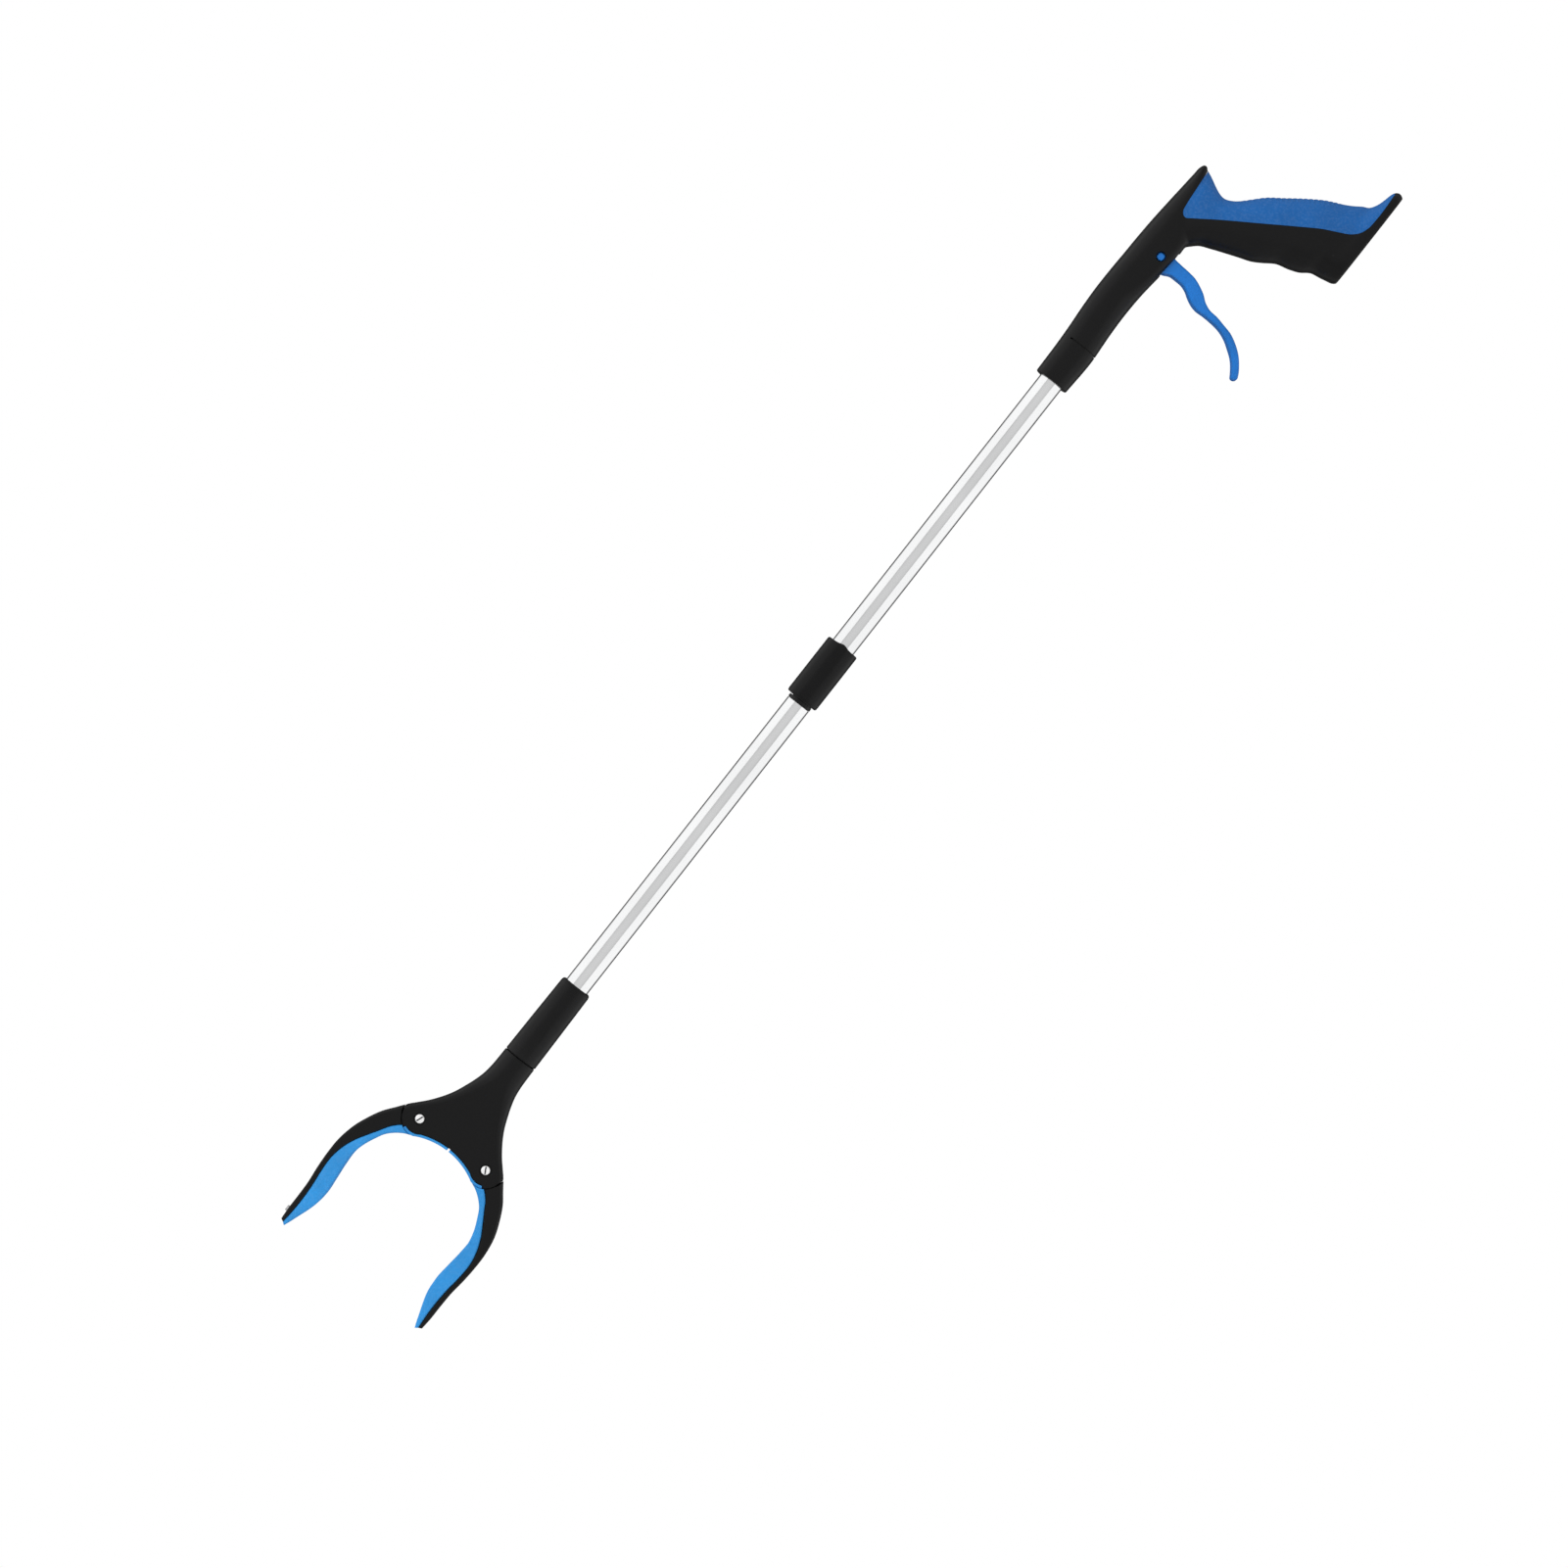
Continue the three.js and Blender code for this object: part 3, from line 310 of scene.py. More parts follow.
def copy_of(obj, name):
    """A second object with the same shape."""
    twin = obj.copy()
    twin.data, twin.name = obj.data.copy(), name
    bpy.context.scene.collection.objects.link(twin)
    return twin


def bevel(obj, width):
    modifier = obj.modifiers.new("edges", "BEVEL")
    modifier.width, modifier.segments = width * MM, 2
    modifier.limit_method, modifier.angle_limit = "ANGLE", math.radians(35)
    return bake(obj)


def dress(obj, material, angle):
    """Gives the object one material, and keeps only edges sharper than the angle (degrees) crisp."""
    mesh = obj.data
    mesh.polygons.foreach_set("use_smooth", [True] * len(mesh.polygons))
    mesh.set_sharp_from_angle(angle=math.radians(angle))
    mesh.materials.clear()
    mesh.materials.append(material)


def finish_piece(obj, body, material, node, angle=35):
    """Dresses a piece, lets it ride a body and shows it in place of the CAD node."""
    dress(obj, material, angle)
    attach(obj, body)
    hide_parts(node)


# ------------------------------------------------------------------ materials


class Nodes:
    """A short way to write a node material."""

    def __init__(self, name):
        self.material = bpy.data.materials.new(name)
        self.material.use_nodes = True
        self.tree = self.material.node_tree
        self.shader = self.tree.nodes["Principled BSDF"]

    def add(self, kind, **settings):
        node = self.tree.nodes.new(kind)
        for key, value in settings.items():
            setattr(node, key, value)
        return node

    def link(self, source, target):
        self.tree.links.new(source, target)

    def place(self, scale=(1, 1, 1)):
        where = self.add("ShaderNodeTexCoord")
        mapping = self.add("ShaderNodeMapping")
        mapping.inputs["Scale"].default_value = scale
        self.link(where.outputs["Object"], mapping.inputs["Vector"])
        return mapping.outputs["Vector"]

    def noise(self, vector, scale, detail, roughness=0.55):
        node = self.add("ShaderNodeTexNoise")
        node.inputs["Scale"].default_value = scale
        node.inputs["Detail"].default_value = detail
        node.inputs["Roughness"].default_value = roughness
        self.link(vector, node.inputs["Vector"])
        return node.outputs["Fac"]

    def remap(self, value, low, high, start=0.35, end=0.65):
        node = self.add("ShaderNodeMapRange")
        node.inputs["From Min"].default_value = start
        node.inputs["From Max"].default_value = end
        node.inputs["To Min"].default_value = low
        node.inputs["To Max"].default_value = high
        self.link(value, node.inputs["Value"])
        return node.outputs["Result"]

    def mix(self, factor, first, second):
        node = self.add("ShaderNodeMix", data_type="RGBA")
        self.link(factor, node.inputs["Factor"])
        for socket, colour in ((node.inputs["A"], first), (node.inputs["B"], second)):
            if isinstance(colour, tuple):
                socket.default_value = (*colour, 1)
            else:
                self.link(colour, socket)
        return node.outputs["Result"]

    def edges(self):
        """High on worn convex edges."""
        geometry = self.add("ShaderNodeNewGeometry")
        return self.remap(geometry.outputs["Pointiness"], 0, 1, 0.53, 0.62)

    def maths(self, operation, a, b):
        node = self.add("ShaderNodeMath", operation=operation)
        for socket, value in zip(node.inputs, (a, b)):
            if isinstance(value, (int, float)):
                socket.default_value = value
            else:
                self.link(value, socket)
        return node.outputs["Value"]

    def bump(self, height, distance):
        node = self.add("ShaderNodeBump")
        node.inputs["Distance"].default_value = distance * MM
        self.link(height, node.inputs["Height"])
        return node.outputs["Normal"]

    def set(self, **values):
        for key, value in values.items():
            socket = self.shader.inputs[key.replace("_", " ")]
            if isinstance(value, (int, float)):
                socket.default_value = value
            elif isinstance(value, tuple):
                socket.default_value = (*value, 1)
            else:
                self.link(value, socket)
        return self.material


def tint(colour, amount):
    """The colour made lighter or darker."""
    return tuple(min(1.0, channel * amount) for channel in colour)


def moulded_plastic(name, colour, roughness, specular=0.35, grain=0.03):
    """Injection-moulded plastic with a fine spark-eroded grain and slightly polished edges."""
    n = Nodes(name)
    here = n.place()
    cloud = n.noise(here, 35, 4)
    fine = n.noise(here, 2600, 2)
    colour_mix = n.mix(n.remap(cloud, 0, 1), tint(colour, 0.9), tint(colour, 1.12))
    worn = n.maths("MULTIPLY", n.edges(), n.remap(n.noise(here, 180, 4), 0.1, 0.5))
    final = n.mix(worn, colour_mix, tuple(channel + 0.02 for channel in colour))
    rough = n.remap(cloud, roughness - 0.05, roughness + 0.06)
    return n.set(Base_Color=final, Roughness=rough, Specular_IOR_Level=specular, Normal=n.bump(fine, grain))


def soft_rubber(name, colour, roughness, grain):
    """Soft overmoulding: matt, faintly mottled and dusty, with a fine leathery grain."""
    n = Nodes(name)
    here = n.place()
    cloud = n.noise(here, 50, 4)
    dust = n.noise(here, 700, 3)
    colour_mix = n.mix(n.remap(cloud, 0, 1), tint(colour, 0.93), tint(colour, 1.06))
    final = n.mix(n.remap(dust, 0, 0.05, 0.45, 0.75), colour_mix, (0.5, 0.65, 0.85))
    pores = n.add("ShaderNodeTexVoronoi")
    pores.inputs["Scale"].default_value = 1500
    n.link(here, pores.inputs["Vector"])
    normal = n.bump(pores.outputs["Distance"], grain)
    rough = n.remap(cloud, roughness - 0.04, roughness + 0.08)
    return n.set(Base_Color=final, Roughness=rough, Specular_IOR_Level=0.28, Normal=normal)


def drawn_metal(name, colour, roughness, stretch, brush=0.006):
    """Metal with drawing or turning lines that run long in one direction."""
    n = Nodes(name)
    lines = n.noise(n.place(stretch), 60, 5, 0.7)
    cloud = n.noise(n.place(), 20, 3)
    scuffs = n.noise(n.place(), 240, 6, 0.75)
    final = n.mix(n.remap(cloud, 0, 1), tint(colour, 0.97), tint(colour, 1.02))
    brushed = n.remap(lines, roughness - 0.04, roughness + 0.05)
    rough = n.maths("ADD", brushed, n.remap(scuffs, 0, 0.08, 0.6, 0.8))
    return n.set(Base_Color=final, Metallic=1.0, Roughness=rough, Normal=n.bump(lines, brush))


def plated_steel():
    """Bright zinc plating with turning marks, its colour darkened by painted shade down in slots and corners."""
    n = Nodes("steel")
    lines = n.noise(n.place((10, 10, 10)), 60, 5, 0.7)
    # Painted shade: ambient occlusion turns the plating's colour towards near black in slots, counterbores and
    # corners.
    crevice = n.add("ShaderNodeAmbientOcclusion")
    crevice.inputs["Distance"].default_value = 1.1 * MM
    painted_shade_mix = n.remap(crevice.outputs["AO"], 0, 1, 0.6, 0.92)
    colour = n.mix(painted_shade_mix, (0.05, 0.05, 0.055), (0.99, 0.99, 0.99))
    rough = n.remap(lines, 0.24, 0.34)
    return n.set(Base_Color=colour, Metallic=0.2, Roughness=rough, Normal=n.bump(lines, 0.004))


NEAR_BLACK = (0.0038, 0.0038, 0.004)
BLACK = moulded_plastic("black_plastic", NEAR_BLACK, 0.38, specular=0.23, grain=0.02)
BLACK_SMOOTH = moulded_plastic("black_plastic_smooth", NEAR_BLACK, 0.34, specular=0.2, grain=0.01)
TRIGGER_BLUE = moulded_plastic("trigger_plastic", (0.007, 0.168, 0.58), 0.36, specular=0.35, grain=0.015)
NYLON = moulded_plastic("natural_nylon", (0.72, 0.69, 0.62), 0.5)
PAD_BLUE = soft_rubber("pad_rubber", (0.032, 0.305, 0.74), 0.55, 0.03)
ALUMINIUM = drawn_metal("aluminium", (0.93, 0.935, 0.94), 0.13, (0.6, 40, 40))
STEEL = plated_steel()
BRIGHT_STEEL = drawn_metal("bright_steel", (0.8, 0.8, 0.81), 0.16, (10, 10, 10), 0.004)
WIRE = drawn_metal("cable_wire", (0.55, 0.56, 0.58), 0.3, (60, 8, 8), 0.02)
GRIP_BLUE = soft_rubber("grip_rubber", (0.008, 0.112, 0.375), 0.55, 0.05)


# ------------------------------------------------------------------ handle

BARREL = [
    # station, top, bottom, half width
    (0, 11.1, -10.9, 11.0), (27, 11.8, -11.7, 11.7), (34, 12.2, -11.2, 11.9), (45, 13.0, -10.5, 12.4),
    (60, 13.7, -10.2, 13.1), (75, 13.6, -10.8, 13.6), (88, 13.2, -12.1, 13.8), (97, 13.0, -13.0, 13.8),
    (110, 12.5, -13.4, 13.6), (125, 11.5, -10.5, 13.0), (140, 10.3, -5.0, 11.6), (150, 9.5, 1.0, 10.2),
    (155, 9.0, 3.8, 8.8), (157.2, 8.0, 5.2, 7.2),
]

GRIP = [
    # height, front, back, half width
    (-97.3, 150.6, 214.2, 15.2), (-95.8, 149.4, 215.2, 15.8), (-92.6, 148.4, 215.0, 15.9),
    (-90.6, 148.0, 212.4, 15.7), (-88.8, 147.5, 205.0, 15.2), (-86.2, 147.0, 199.4, 14.7),
    (-81.5, 146.0, 196.2, 14.6), (-76.2, 142.3, 192.6, 14.8), (-70.0, 139.8, 189.2, 15.0),
    (-61.5, 137.4, 185.0, 15.2), (-55.0, 133.0, 180.8, 15.3), (-50.0, 130.0, 177.3, 15.4),
    (-42.0, 127.0, 171.3, 15.4), (-33.0, 123.6, 164.6, 15.3), (-25.0, 120.4, 156.4, 15.1),
    (-19.0, 117.7, 151.3, 14.8), (-13.5, 112.5, 149.1, 14.5), (-10.0, 110.0, 149.7, 14.1),
    (-5.0, 111.0, 151.9, 13.4), (0.0, 114.0, 154.5, 12.2), (4.0, 119.0, 156.2, 9.6),
]

BLUE_EDGE = [
    (157.5, 4.45), (150, 3.5), (140, 2.6), (131, 1.7), (127, 0.9), (125, -0.9), (124.6, -2.8), (126.0, -5),
    (136.2, -20), (149.2, -40), (162.3, -60), (169.2, -70.8), (173.8, -80), (176.9, -85.7), (180.8, -89.7),
    (186.2, -91.9), (192, -92.4), (212, -92.0), (222, -91.7),
]
SEAM_GAP = 0.12


def barrel(name, inset=0.0, low=0.0, high=BARREL[-1][0], count=120):
    """The barrel: an oval tube whose lower edges square up beside the trigger."""
    stations = np.linspace(low, high, count)
    rings = []
    for x, (top, bottom, half) in zip(stations, profile(BARREL, stations)):
        size = (half - inset, (top - bottom) / 2 - inset)
        squareness = np.interp(x, (66, 84, 110, 122), (2.3, 4.6, 4.6, 2.3))
        soft, square = oval(*size, 2.3, 96), oval(*size, squareness, 96)
        ring = np.where(soft[:, 1:] < 0, square, soft)
        rings.append(np.column_stack([np.full(96, x), ring[:, 0], (top + bottom) / 2 + ring[:, 1]]))
    return skin(name, rings)


def grip(name):
    """The grip: an oval column that leans back and ends in a flat foot."""
    heights = np.linspace(GRIP[0][0], GRIP[-1][0], 130)
    rings = []
    for z, (front, back, half) in zip(heights, profile(GRIP, heights)):
        power = np.interp(z, (-92, -84), (3.0, 2.35))
        ring = oval((back - front) / 2, half, power, 80)
        rings.append(np.column_stack([(front + back) / 2 + ring[:, 0], ring[:, 1], np.full(80, z)]))
    return skin(name, rings)


def blue_prism(name, grow):
    """The blue region across the handle, rebated in the middle so that its edge laps over the black."""
    edge = curve(BLUE_EDGE, 120)
    x, z = edge.T
    at_back = np.where(z > -2, np.clip((x - 143) / 8, 0, 1), np.clip((x - 193) / 10, 0, 1))

    def layer(label, rebate, low, high):
        spread = grow - rebate * (1 - 0.75 * at_back)
        far = [(240, -91.5 - spread[-1]), (240, 12), (200, 12), (170, 4.6 + spread[0])]
        return plate(label, [*offset_line(edge, spread), *far], low, high)

    lap = 8 - grow / 2
    flanges = join(layer(name, 0, -40, -lap), layer("far_flange", 0, lap, 40))
    return join(flanges, layer("core", 1.4, -8.1, 8.1))


def collar_groove():
    """The shallow step line round the collar's lower part."""
    ring = turned("groove", [(26.5, 20), (27.5, 20), (27.5, 10.9), (26.5, 10.9)], 72)
    return common(ring, block("lower", (20, -30, -30), (35, 30, 7)))


def handle_halves(obj, left_name, right_name):
    """Splits a solid at the handle's seam, with a fine gap between its two halves."""
    left = common(copy_of(obj, left_name), block("side", (-20, -40, -120), (240, SEAM - SEAM_GAP, 40)))
    right = common(obj, block("side", (-20, SEAM + SEAM_GAP, -120), (240, 40, 40)))
    right.name = right_name
    return left, right


def build_handle():
    body = join(barrel("handle"), grip("grip"))
    melt(body, 0.55, 4)
    soften(body, (113, -10), 26, 40)
    raise_ribs(body, -72, -22, 2.6, 0.32, 10.5)
    pad = common(copy_of(body, "pad"), blue_prism("blue", -0.08))
    cut(body, blue_prism("blue", 0.08))
    pivot = (TRIGGER_PIVOT.x, 0, TRIGGER_PIVOT.z)
    cut(
        body,
        collar_groove(),
        barrel("room", 2.6, 30, 121, 60),
        block("trigger_room", (88.5, -9.3, -30), (107.5, 9.3, 3)),
        block("cable_room", (81, -1.7, -30), (90, 1.7, 0)),
        bar("tube_room", [(-2, TUBE_RADIUS + 0.15), (31, TUBE_RADIUS + 0.15)], 96),
        bar("stub_hole", [(-20, 3.1), (20, 3.1)], 48, "Y", pivot),
    )
    left, right = handle_halves(body, "handle_shell_left_skin", "handle_shell_right_skin")
    for i in range(1, 5):
        spot, top = in_mm(middle(f"handle_screw_{i}")), in_mm(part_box(f"handle_screw_{i}")[1]).y
        cut(right, bar("seat", [(top - 2.3, 3.0), (30, 3.0)], 40, "Y", (spot.x, 0, spot.z)))
    finish_piece(left, "handle", BLACK, "handle_shell_left")
    finish_piece(right, "handle", BLACK, "handle_shell_right")
    pad_left, pad_right = handle_halves(pad, "grip_pad_left_skin", "grip_pad_right_skin")
    finish_piece(pad_left, "handle", GRIP_BLUE, "grip_pad_left")
    finish_piece(pad_right, "handle", GRIP_BLUE, "grip_pad_right")


# ------------------------------------------------------------------ trigger

TRIGGER_FRONT = [
    (92.0, -1.5), (90.2, -7), (91, -12.8), (92.9, -17), (93, -20.5), (92.7, -26), (91.3, -29.7),
    (89.4, -32.7), (87.3, -36.9), (86.2, -41.5), (86.4, -47), (86.2, -53), (85.4, -59.2),
    (83.1, -65.4), (80, -70.3), (76.2, -75.4), (71.5, -79.4), (67.6, -82.0),
]
TRIGGER_REAR = [
    (103.0, -1.5), (104.8, -7), (102.2, -13), (101.6, -18), (101.2, -23.8), (100.3, -30), (98.5, -34.6),
    (96.2, -39.0), (92.8, -43.6), (91.1, -47.7), (90.5, -53.8), (89.2, -60), (87.7, -66.2), (84.6, -72.3),
    (80.8, -77.5), (76.2, -81.7), (71.5, -84.9), (69.6, -85.8),
]


def pivot_stubs():
    """The pin through the trigger's top, squarish where its ends show in the handle's sides."""
    square = oval(2.25, 2.25, 3.2, 40)
    rings = []
    for y, size in ((-12.5, 0.82), (-12.1, 1.0), (12.1, 1.0), (12.5, 0.82)):
        rings.append(np.column_stack([
            TRIGGER_PIVOT.x + square[:, 0] * size, np.full(40, y), TRIGGER_PIVOT.z - square[:, 1] * size,
        ]))
    return skin("stubs", rings)


def build_trigger():
    """A blade between its two long edges, dished in front for the fingers and rounded off at the toe."""
    front, rear = curve(TRIGGER_FRONT, 120), curve(TRIGGER_REAR, 120)
    rings = []
    for t, (a, b) in zip(np.linspace(0, 1, 120), zip(front, rear)):
        reach = np.linalg.norm(a - b) / 2
        width = 8.6 - 0.9 * t**2
        ring = rounded(reach, width, 1.7, 48)
        dish = 0.7 * np.clip(1 - (ring[:, 1] / width) ** 2, 0, 1) * (ring[:, 0] > 0) * min(1, reach / 3)
        across = (ring[:, 0] - dish) / reach
        centre = (a + b) / 2
        flat = centre + across[:, None] * (a - b) / 2
        rings.append(np.column_stack([flat[:, 0], ring[:, 1], flat[:, 1]]))
    centre = (front[-1] + rear[-1]) / 2
    onward = centre - (front[-8] + rear[-8]) / 2
    onward /= np.linalg.norm(onward)
    last, tip = rings[-1], np.array([centre[0], 0, centre[1]])
    for step, shrink in ((0.7, 0.86), (1.15, 0.6), (1.35, 0.3)):
        moved = tip + (last - tip) * np.array([shrink, 1 - (1 - shrink) * 0.12, shrink])
        rings.append(moved + np.array([onward[0], 0, onward[1]]) * step)
    blade = join(skin("trigger_blade", rings), pivot_stubs())
    spot = in_mm(middle("cable_nipple_rear"))
    cut(
        blade,
        block("cable_slot", (60, -1.5, spot.z - 1.8), (spot.x + 1.2, 1.5, 10)),
        bar("nipple_hole", [(-4.6, 2.0), (12, 2.0)], 32, "Y", (spot.x, 0, spot.z)),
    )
    finish_piece(blade, "trigger", TRIGGER_BLUE, "trigger", 40)


# ------------------------------------------------------------------ tubes, sleeve and collar


def build_tubes():
    for node, body in (("upper_tube", "handle"), ("lower_tube", "lower_arm")):
        low, high = (in_mm(corner).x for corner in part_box(node))
        inner = 6.8
        outline = [(low, inner), (low, TUBE_RADIUS - 0.25), (low + 0.25, TUBE_RADIUS)]
        outline += [(x, TUBE_RADIUS) for x in np.linspace(low + 1, high - 1, 40)]
        outline += [(high - 0.25, TUBE_RADIUS), (high, TUBE_RADIUS - 0.25), (high, inner)]
        tube = turned(node + "_skin", outline, 160)
        finish_piece(tube, body, ALUMINIUM, node, 30)


def build_sleeve():
    end = SLEEVE_HIGH - 1.2
    outline = [
        (SLEEVE_LOW, 8.5), (SLEEVE_LOW, 9.7), (SLEEVE_LOW + 0.35, 10.2), (SLEEVE_LOW + 1.2, 10.55),
        (SLEEVE_LOW + 2.5, 10.6), (SLEEVE_LOW + 20, 10.62), (end - 1.2, 10.6), (end - 0.4, 10.45), (end, 9.9),
        (end, 8.0), (end - 5, 8.0), (end - 5.5, 8.5),
    ]

    def tongue(x, angle):
        """Lengthens the sleeve's rear end into a rounded tongue on each side."""
        bump = np.exp(-((np.sin(angle) * 10 / 3.2) ** 2)) * (np.abs(np.cos(angle)) > 0.5)
        return bump * 1.2 * np.clip((x - end + 4) / 4, 0, 1)

    sleeve = turned("lock_sleeve_skin", outline, 192, ring_shift=tongue)
    keyway = block("keyway", (SLEEVE_LOW - 1, -5.3, 0), (SLEEVE_HIGH - 7.5, 5.3, 12))
    common(keyway, bar("round", [(SLEEVE_LOW - 2, 9.9), (SLEEVE_HIGH, 9.9)], 96))
    cut(sleeve, keyway)
    finish_piece(sleeve, "sleeve", BLACK_SMOOTH, "lock_sleeve")


def build_neck():
    low, high = in_mm(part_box("neck_collar")[0]).x, NECK_HIGH
    outline = [
        (low, 8.55), (low, 10.3), (low + 0.4, 10.7), (low + 27, 10.35), (high - 2.2, 9.95),
        (high - 0.9, 9.65), (high - 0.25, 9.05), (high, 8.4), (high, 7.9), (low + 24, 7.9), (low + 22, 8.55),
    ]
    collar = turned("neck_collar_skin", outline, 160)
    screw = in_mm(middle("neck_collar_screw"))
    cut(collar, bar("seat", [(8.9, 2.6), (14, 2.6)], 40, "Y", (screw.x, 0, 0)))
    cut(collar, bar("hole", [(2, 1.5), (14, 1.5)], 32, "Y", (screw.x, 0, 0)))
    finish_piece(collar, "lower_arm", BLACK, "neck_collar")


# ------------------------------------------------------------------ head

HEAD = [
    # distance behind the jaw pivots, half height, half width, corner radius
    (-14, 37.6, 11.5, 3.0), (-4, 37.6, 11.5, 3.0), (0, 37.0, 11.5, 3.2), (5, 32.8, 11.5, 3.6),
    (10, 28.3, 11.5, 4.0), (15, 24.5, 11.5, 4.4), (20, 21.2, 11.5, 5.0), (25, 18.5, 11.5, 5.6),
    (31, 16.0, 11.5, 6.6), (38, 13.5, 11.4, 8.2), (44, 11.9, 11.2, 9.6), (50, 11.1, 11.0, 10.4),
    (57, 10.8, 10.8, 10.6), (64.25, 10.7, 10.7, 10.6),
]
# Both arcs of the palm have their centres on the tube's centre line, this far from the jaw pivots.
FRONT_CENTRE, FRONT_RADIUS = -52.2, 49.0
PALM_CENTRE, PALM_RADIUS = -49.9, 45.0
HUB_RADIUS, FRONT_HUB_RADIUS = 11.0, 9.2
# Half the width of the hollow in which the jaws' cheeks turn.
CHEEK_ROOM = 9.1


def lobe(side, extra, start, end, count=48, front=FRONT_HUB_RADIUS):
    """The head's round edge about a pivot: widest at the flank, set back under the palm strip."""
    degrees = np.linspace(start, end, count)
    radius = np.interp(degrees, (90, 117, 152, 156), (12.2, HUB_RADIUS, HUB_RADIUS, front)) + extra
    angle = np.radians(degrees)
    return np.column_stack([
        JAW_PIVOT.x + radius * np.cos(angle), side * (JAW_PIVOT.z + radius * np.sin(angle)),
    ])


def front_arc(radius, start, end):
    """A stretch of the head's hollow front."""
    return arc((JAW_PIVOT.x + FRONT_CENTRE, 0), radius, start, end, 30)


def head_outline():
    """The head from the side: straight flanks, a lobe about each pivot and a hollow front."""
    back, flank = JAW_PIVOT.x + 64, JAW_PIVOT.x + 4
    upper, lower = lobe(1, 0, 90, 222), lobe(-1, 0, 90, 222)[::-1]
    front = front_arc(FRONT_RADIUS, 21.5, -21.5)
    return [(back, 45), (flank, 45), *upper, *front, *lower, (flank, -45), (back, -45)]


def head_solid():
    stations = np.linspace(-14, 64.25, 100)
    rings = []
    for x, (tall, wide, corner) in zip(stations, profile(HEAD, stations)):
        ring = rounded(wide, tall, corner, 96)
        rings.append(np.column_stack([np.full(len(ring), JAW_PIVOT.x + x), ring[:, 0], ring[:, 1]]))
    return common(skin("head", rings), plate("outline", head_outline(), -30, 30))


def pivot_points():
    """Name, side and height of each jaw's pivot."""
    return (("upper", 1, JAW_PIVOT.z), ("lower", -1, -JAW_PIVOT.z))


def swivel_spigot():
    """The head's round tail inside the neck collar, with a groove for the snap ring."""
    low, high = NECK_LINE - 2, in_mm(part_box("head_shell_front")[1]).x
    groove_low, groove_high = (in_mm(corner).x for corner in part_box("swivel_snap_ring"))
    outline = [
        (low, 8.2), (groove_low - 0.3, 8.2), (groove_low - 0.3, 7.4), (groove_high + 0.3, 7.4),
        (groove_high + 0.3, 8.2), (high - 0.5, 8.2), (high, 7.7), (high, 2.3), (low, 2.3),
    ]
    return turned("spigot", outline)


def build_head():
    x0 = JAW_PIVOT.x
    head = melt(head_solid(), 0.6, 3)
    flank = [(-16, 35), (0, 34.6), (5, 30.2), (10, 25.7), (15, 21.9), (22, 17.6), (30, 13.4), (36, 11)]
    room = [(x0 + x, z) for x, z in flank] + [(x0 + x, -z) for x, z in flank[::-1]]
    inside = plate("inside", room, -CHEEK_ROOM, CHEEK_ROOM)
    wall = FRONT_RADIUS + 1.8
    cut(inside, bar("front", [(-30, wall), (30, wall)], 160, "Y", (x0 + FRONT_CENTRE, 0, 0)))
    cut(head, inside)
    for _, side, z in pivot_points():
        door = [(2.5, 45), (2.5, 30), (-4.5, 19.3), (-30, 19.3), (-30, 45)]
        cut(
            head,
            plate("door", [(x0 + a, side * b) for a, b in door], -CHEEK_ROOM, CHEEK_ROOM),
            bar("screw_hole", [(-14, 1.9), (14, 1.9)], 32, "Y", (x0, 0, z)),
            bar("screw_seat", [(-14, 3.9), (-10.4, 3.9)], 48, "Y", (x0, 0, z)),
            bar("nut_seat", [(10.4, 4.1), (14, 4.1)], 48, "Y", (x0, 0, z)),
        )
    cut(head, bar("spring_room", [(x0 + 8, 5.6), (x0 + 35, 5.6)], 48))
    cut(head, bar("cable_room", [(x0 + 30, 2.2), (x0 + 92, 2.2)], 32))
    for i in range(1, 4):
        spot = in_mm(middle(f"head_screw_{i}"))
        cut(head, bar("seat", [(9.2, 2.6), (14, 2.6)], 40, "Y", (spot.x, 0, spot.z)))
    join(head, swivel_spigot())
    front = common(copy_of(head, "head_shell_front_skin"), block("side", (-720, -40, -60), (-400, -0.1, 60)))
    rear = common(head, block("side", (-720, 0.1, -60), (-400, 40, 60)))
    rear.name = "head_shell_rear_skin"
    finish_piece(front, "head", BLACK, "head_shell_front")
    finish_piece(rear, "head", BLACK, "head_shell_rear")


def build_pivot_screws():
    """Domed, slotted screw heads in the head's counterbores."""
    outline = [
        (-12.1, 0.4), (-12.0, 1.4), (-11.75, 2.1), (-11.4, 2.6), (-11.1, 2.7), (-10.8, 2.7), (-10.75, 1.55),
        (11.3, 1.55), (11.6, 1.25),
    ]
    slot = [(-4, -0.45), (4, -0.45), (4, 0.45), (-4, 0.45)]
    for name, side, z in pivot_points():
        screw = bar(f"pivot_screw_{name}_skin", outline, 64, "Y", (JAW_PIVOT.x, 0, z))
        tilt = math.radians(-21 if side > 0 else 29)
        c, s = math.cos(tilt), math.sin(tilt)
        turned_slot = [(JAW_PIVOT.x + a * c - b * s, z + a * s + b * c) for a, b in slot]
        cut(screw, plate("slot", turned_slot, -13, -11.25))
        finish_piece(screw, "head", STEEL, f"pivot_screw_{name}")


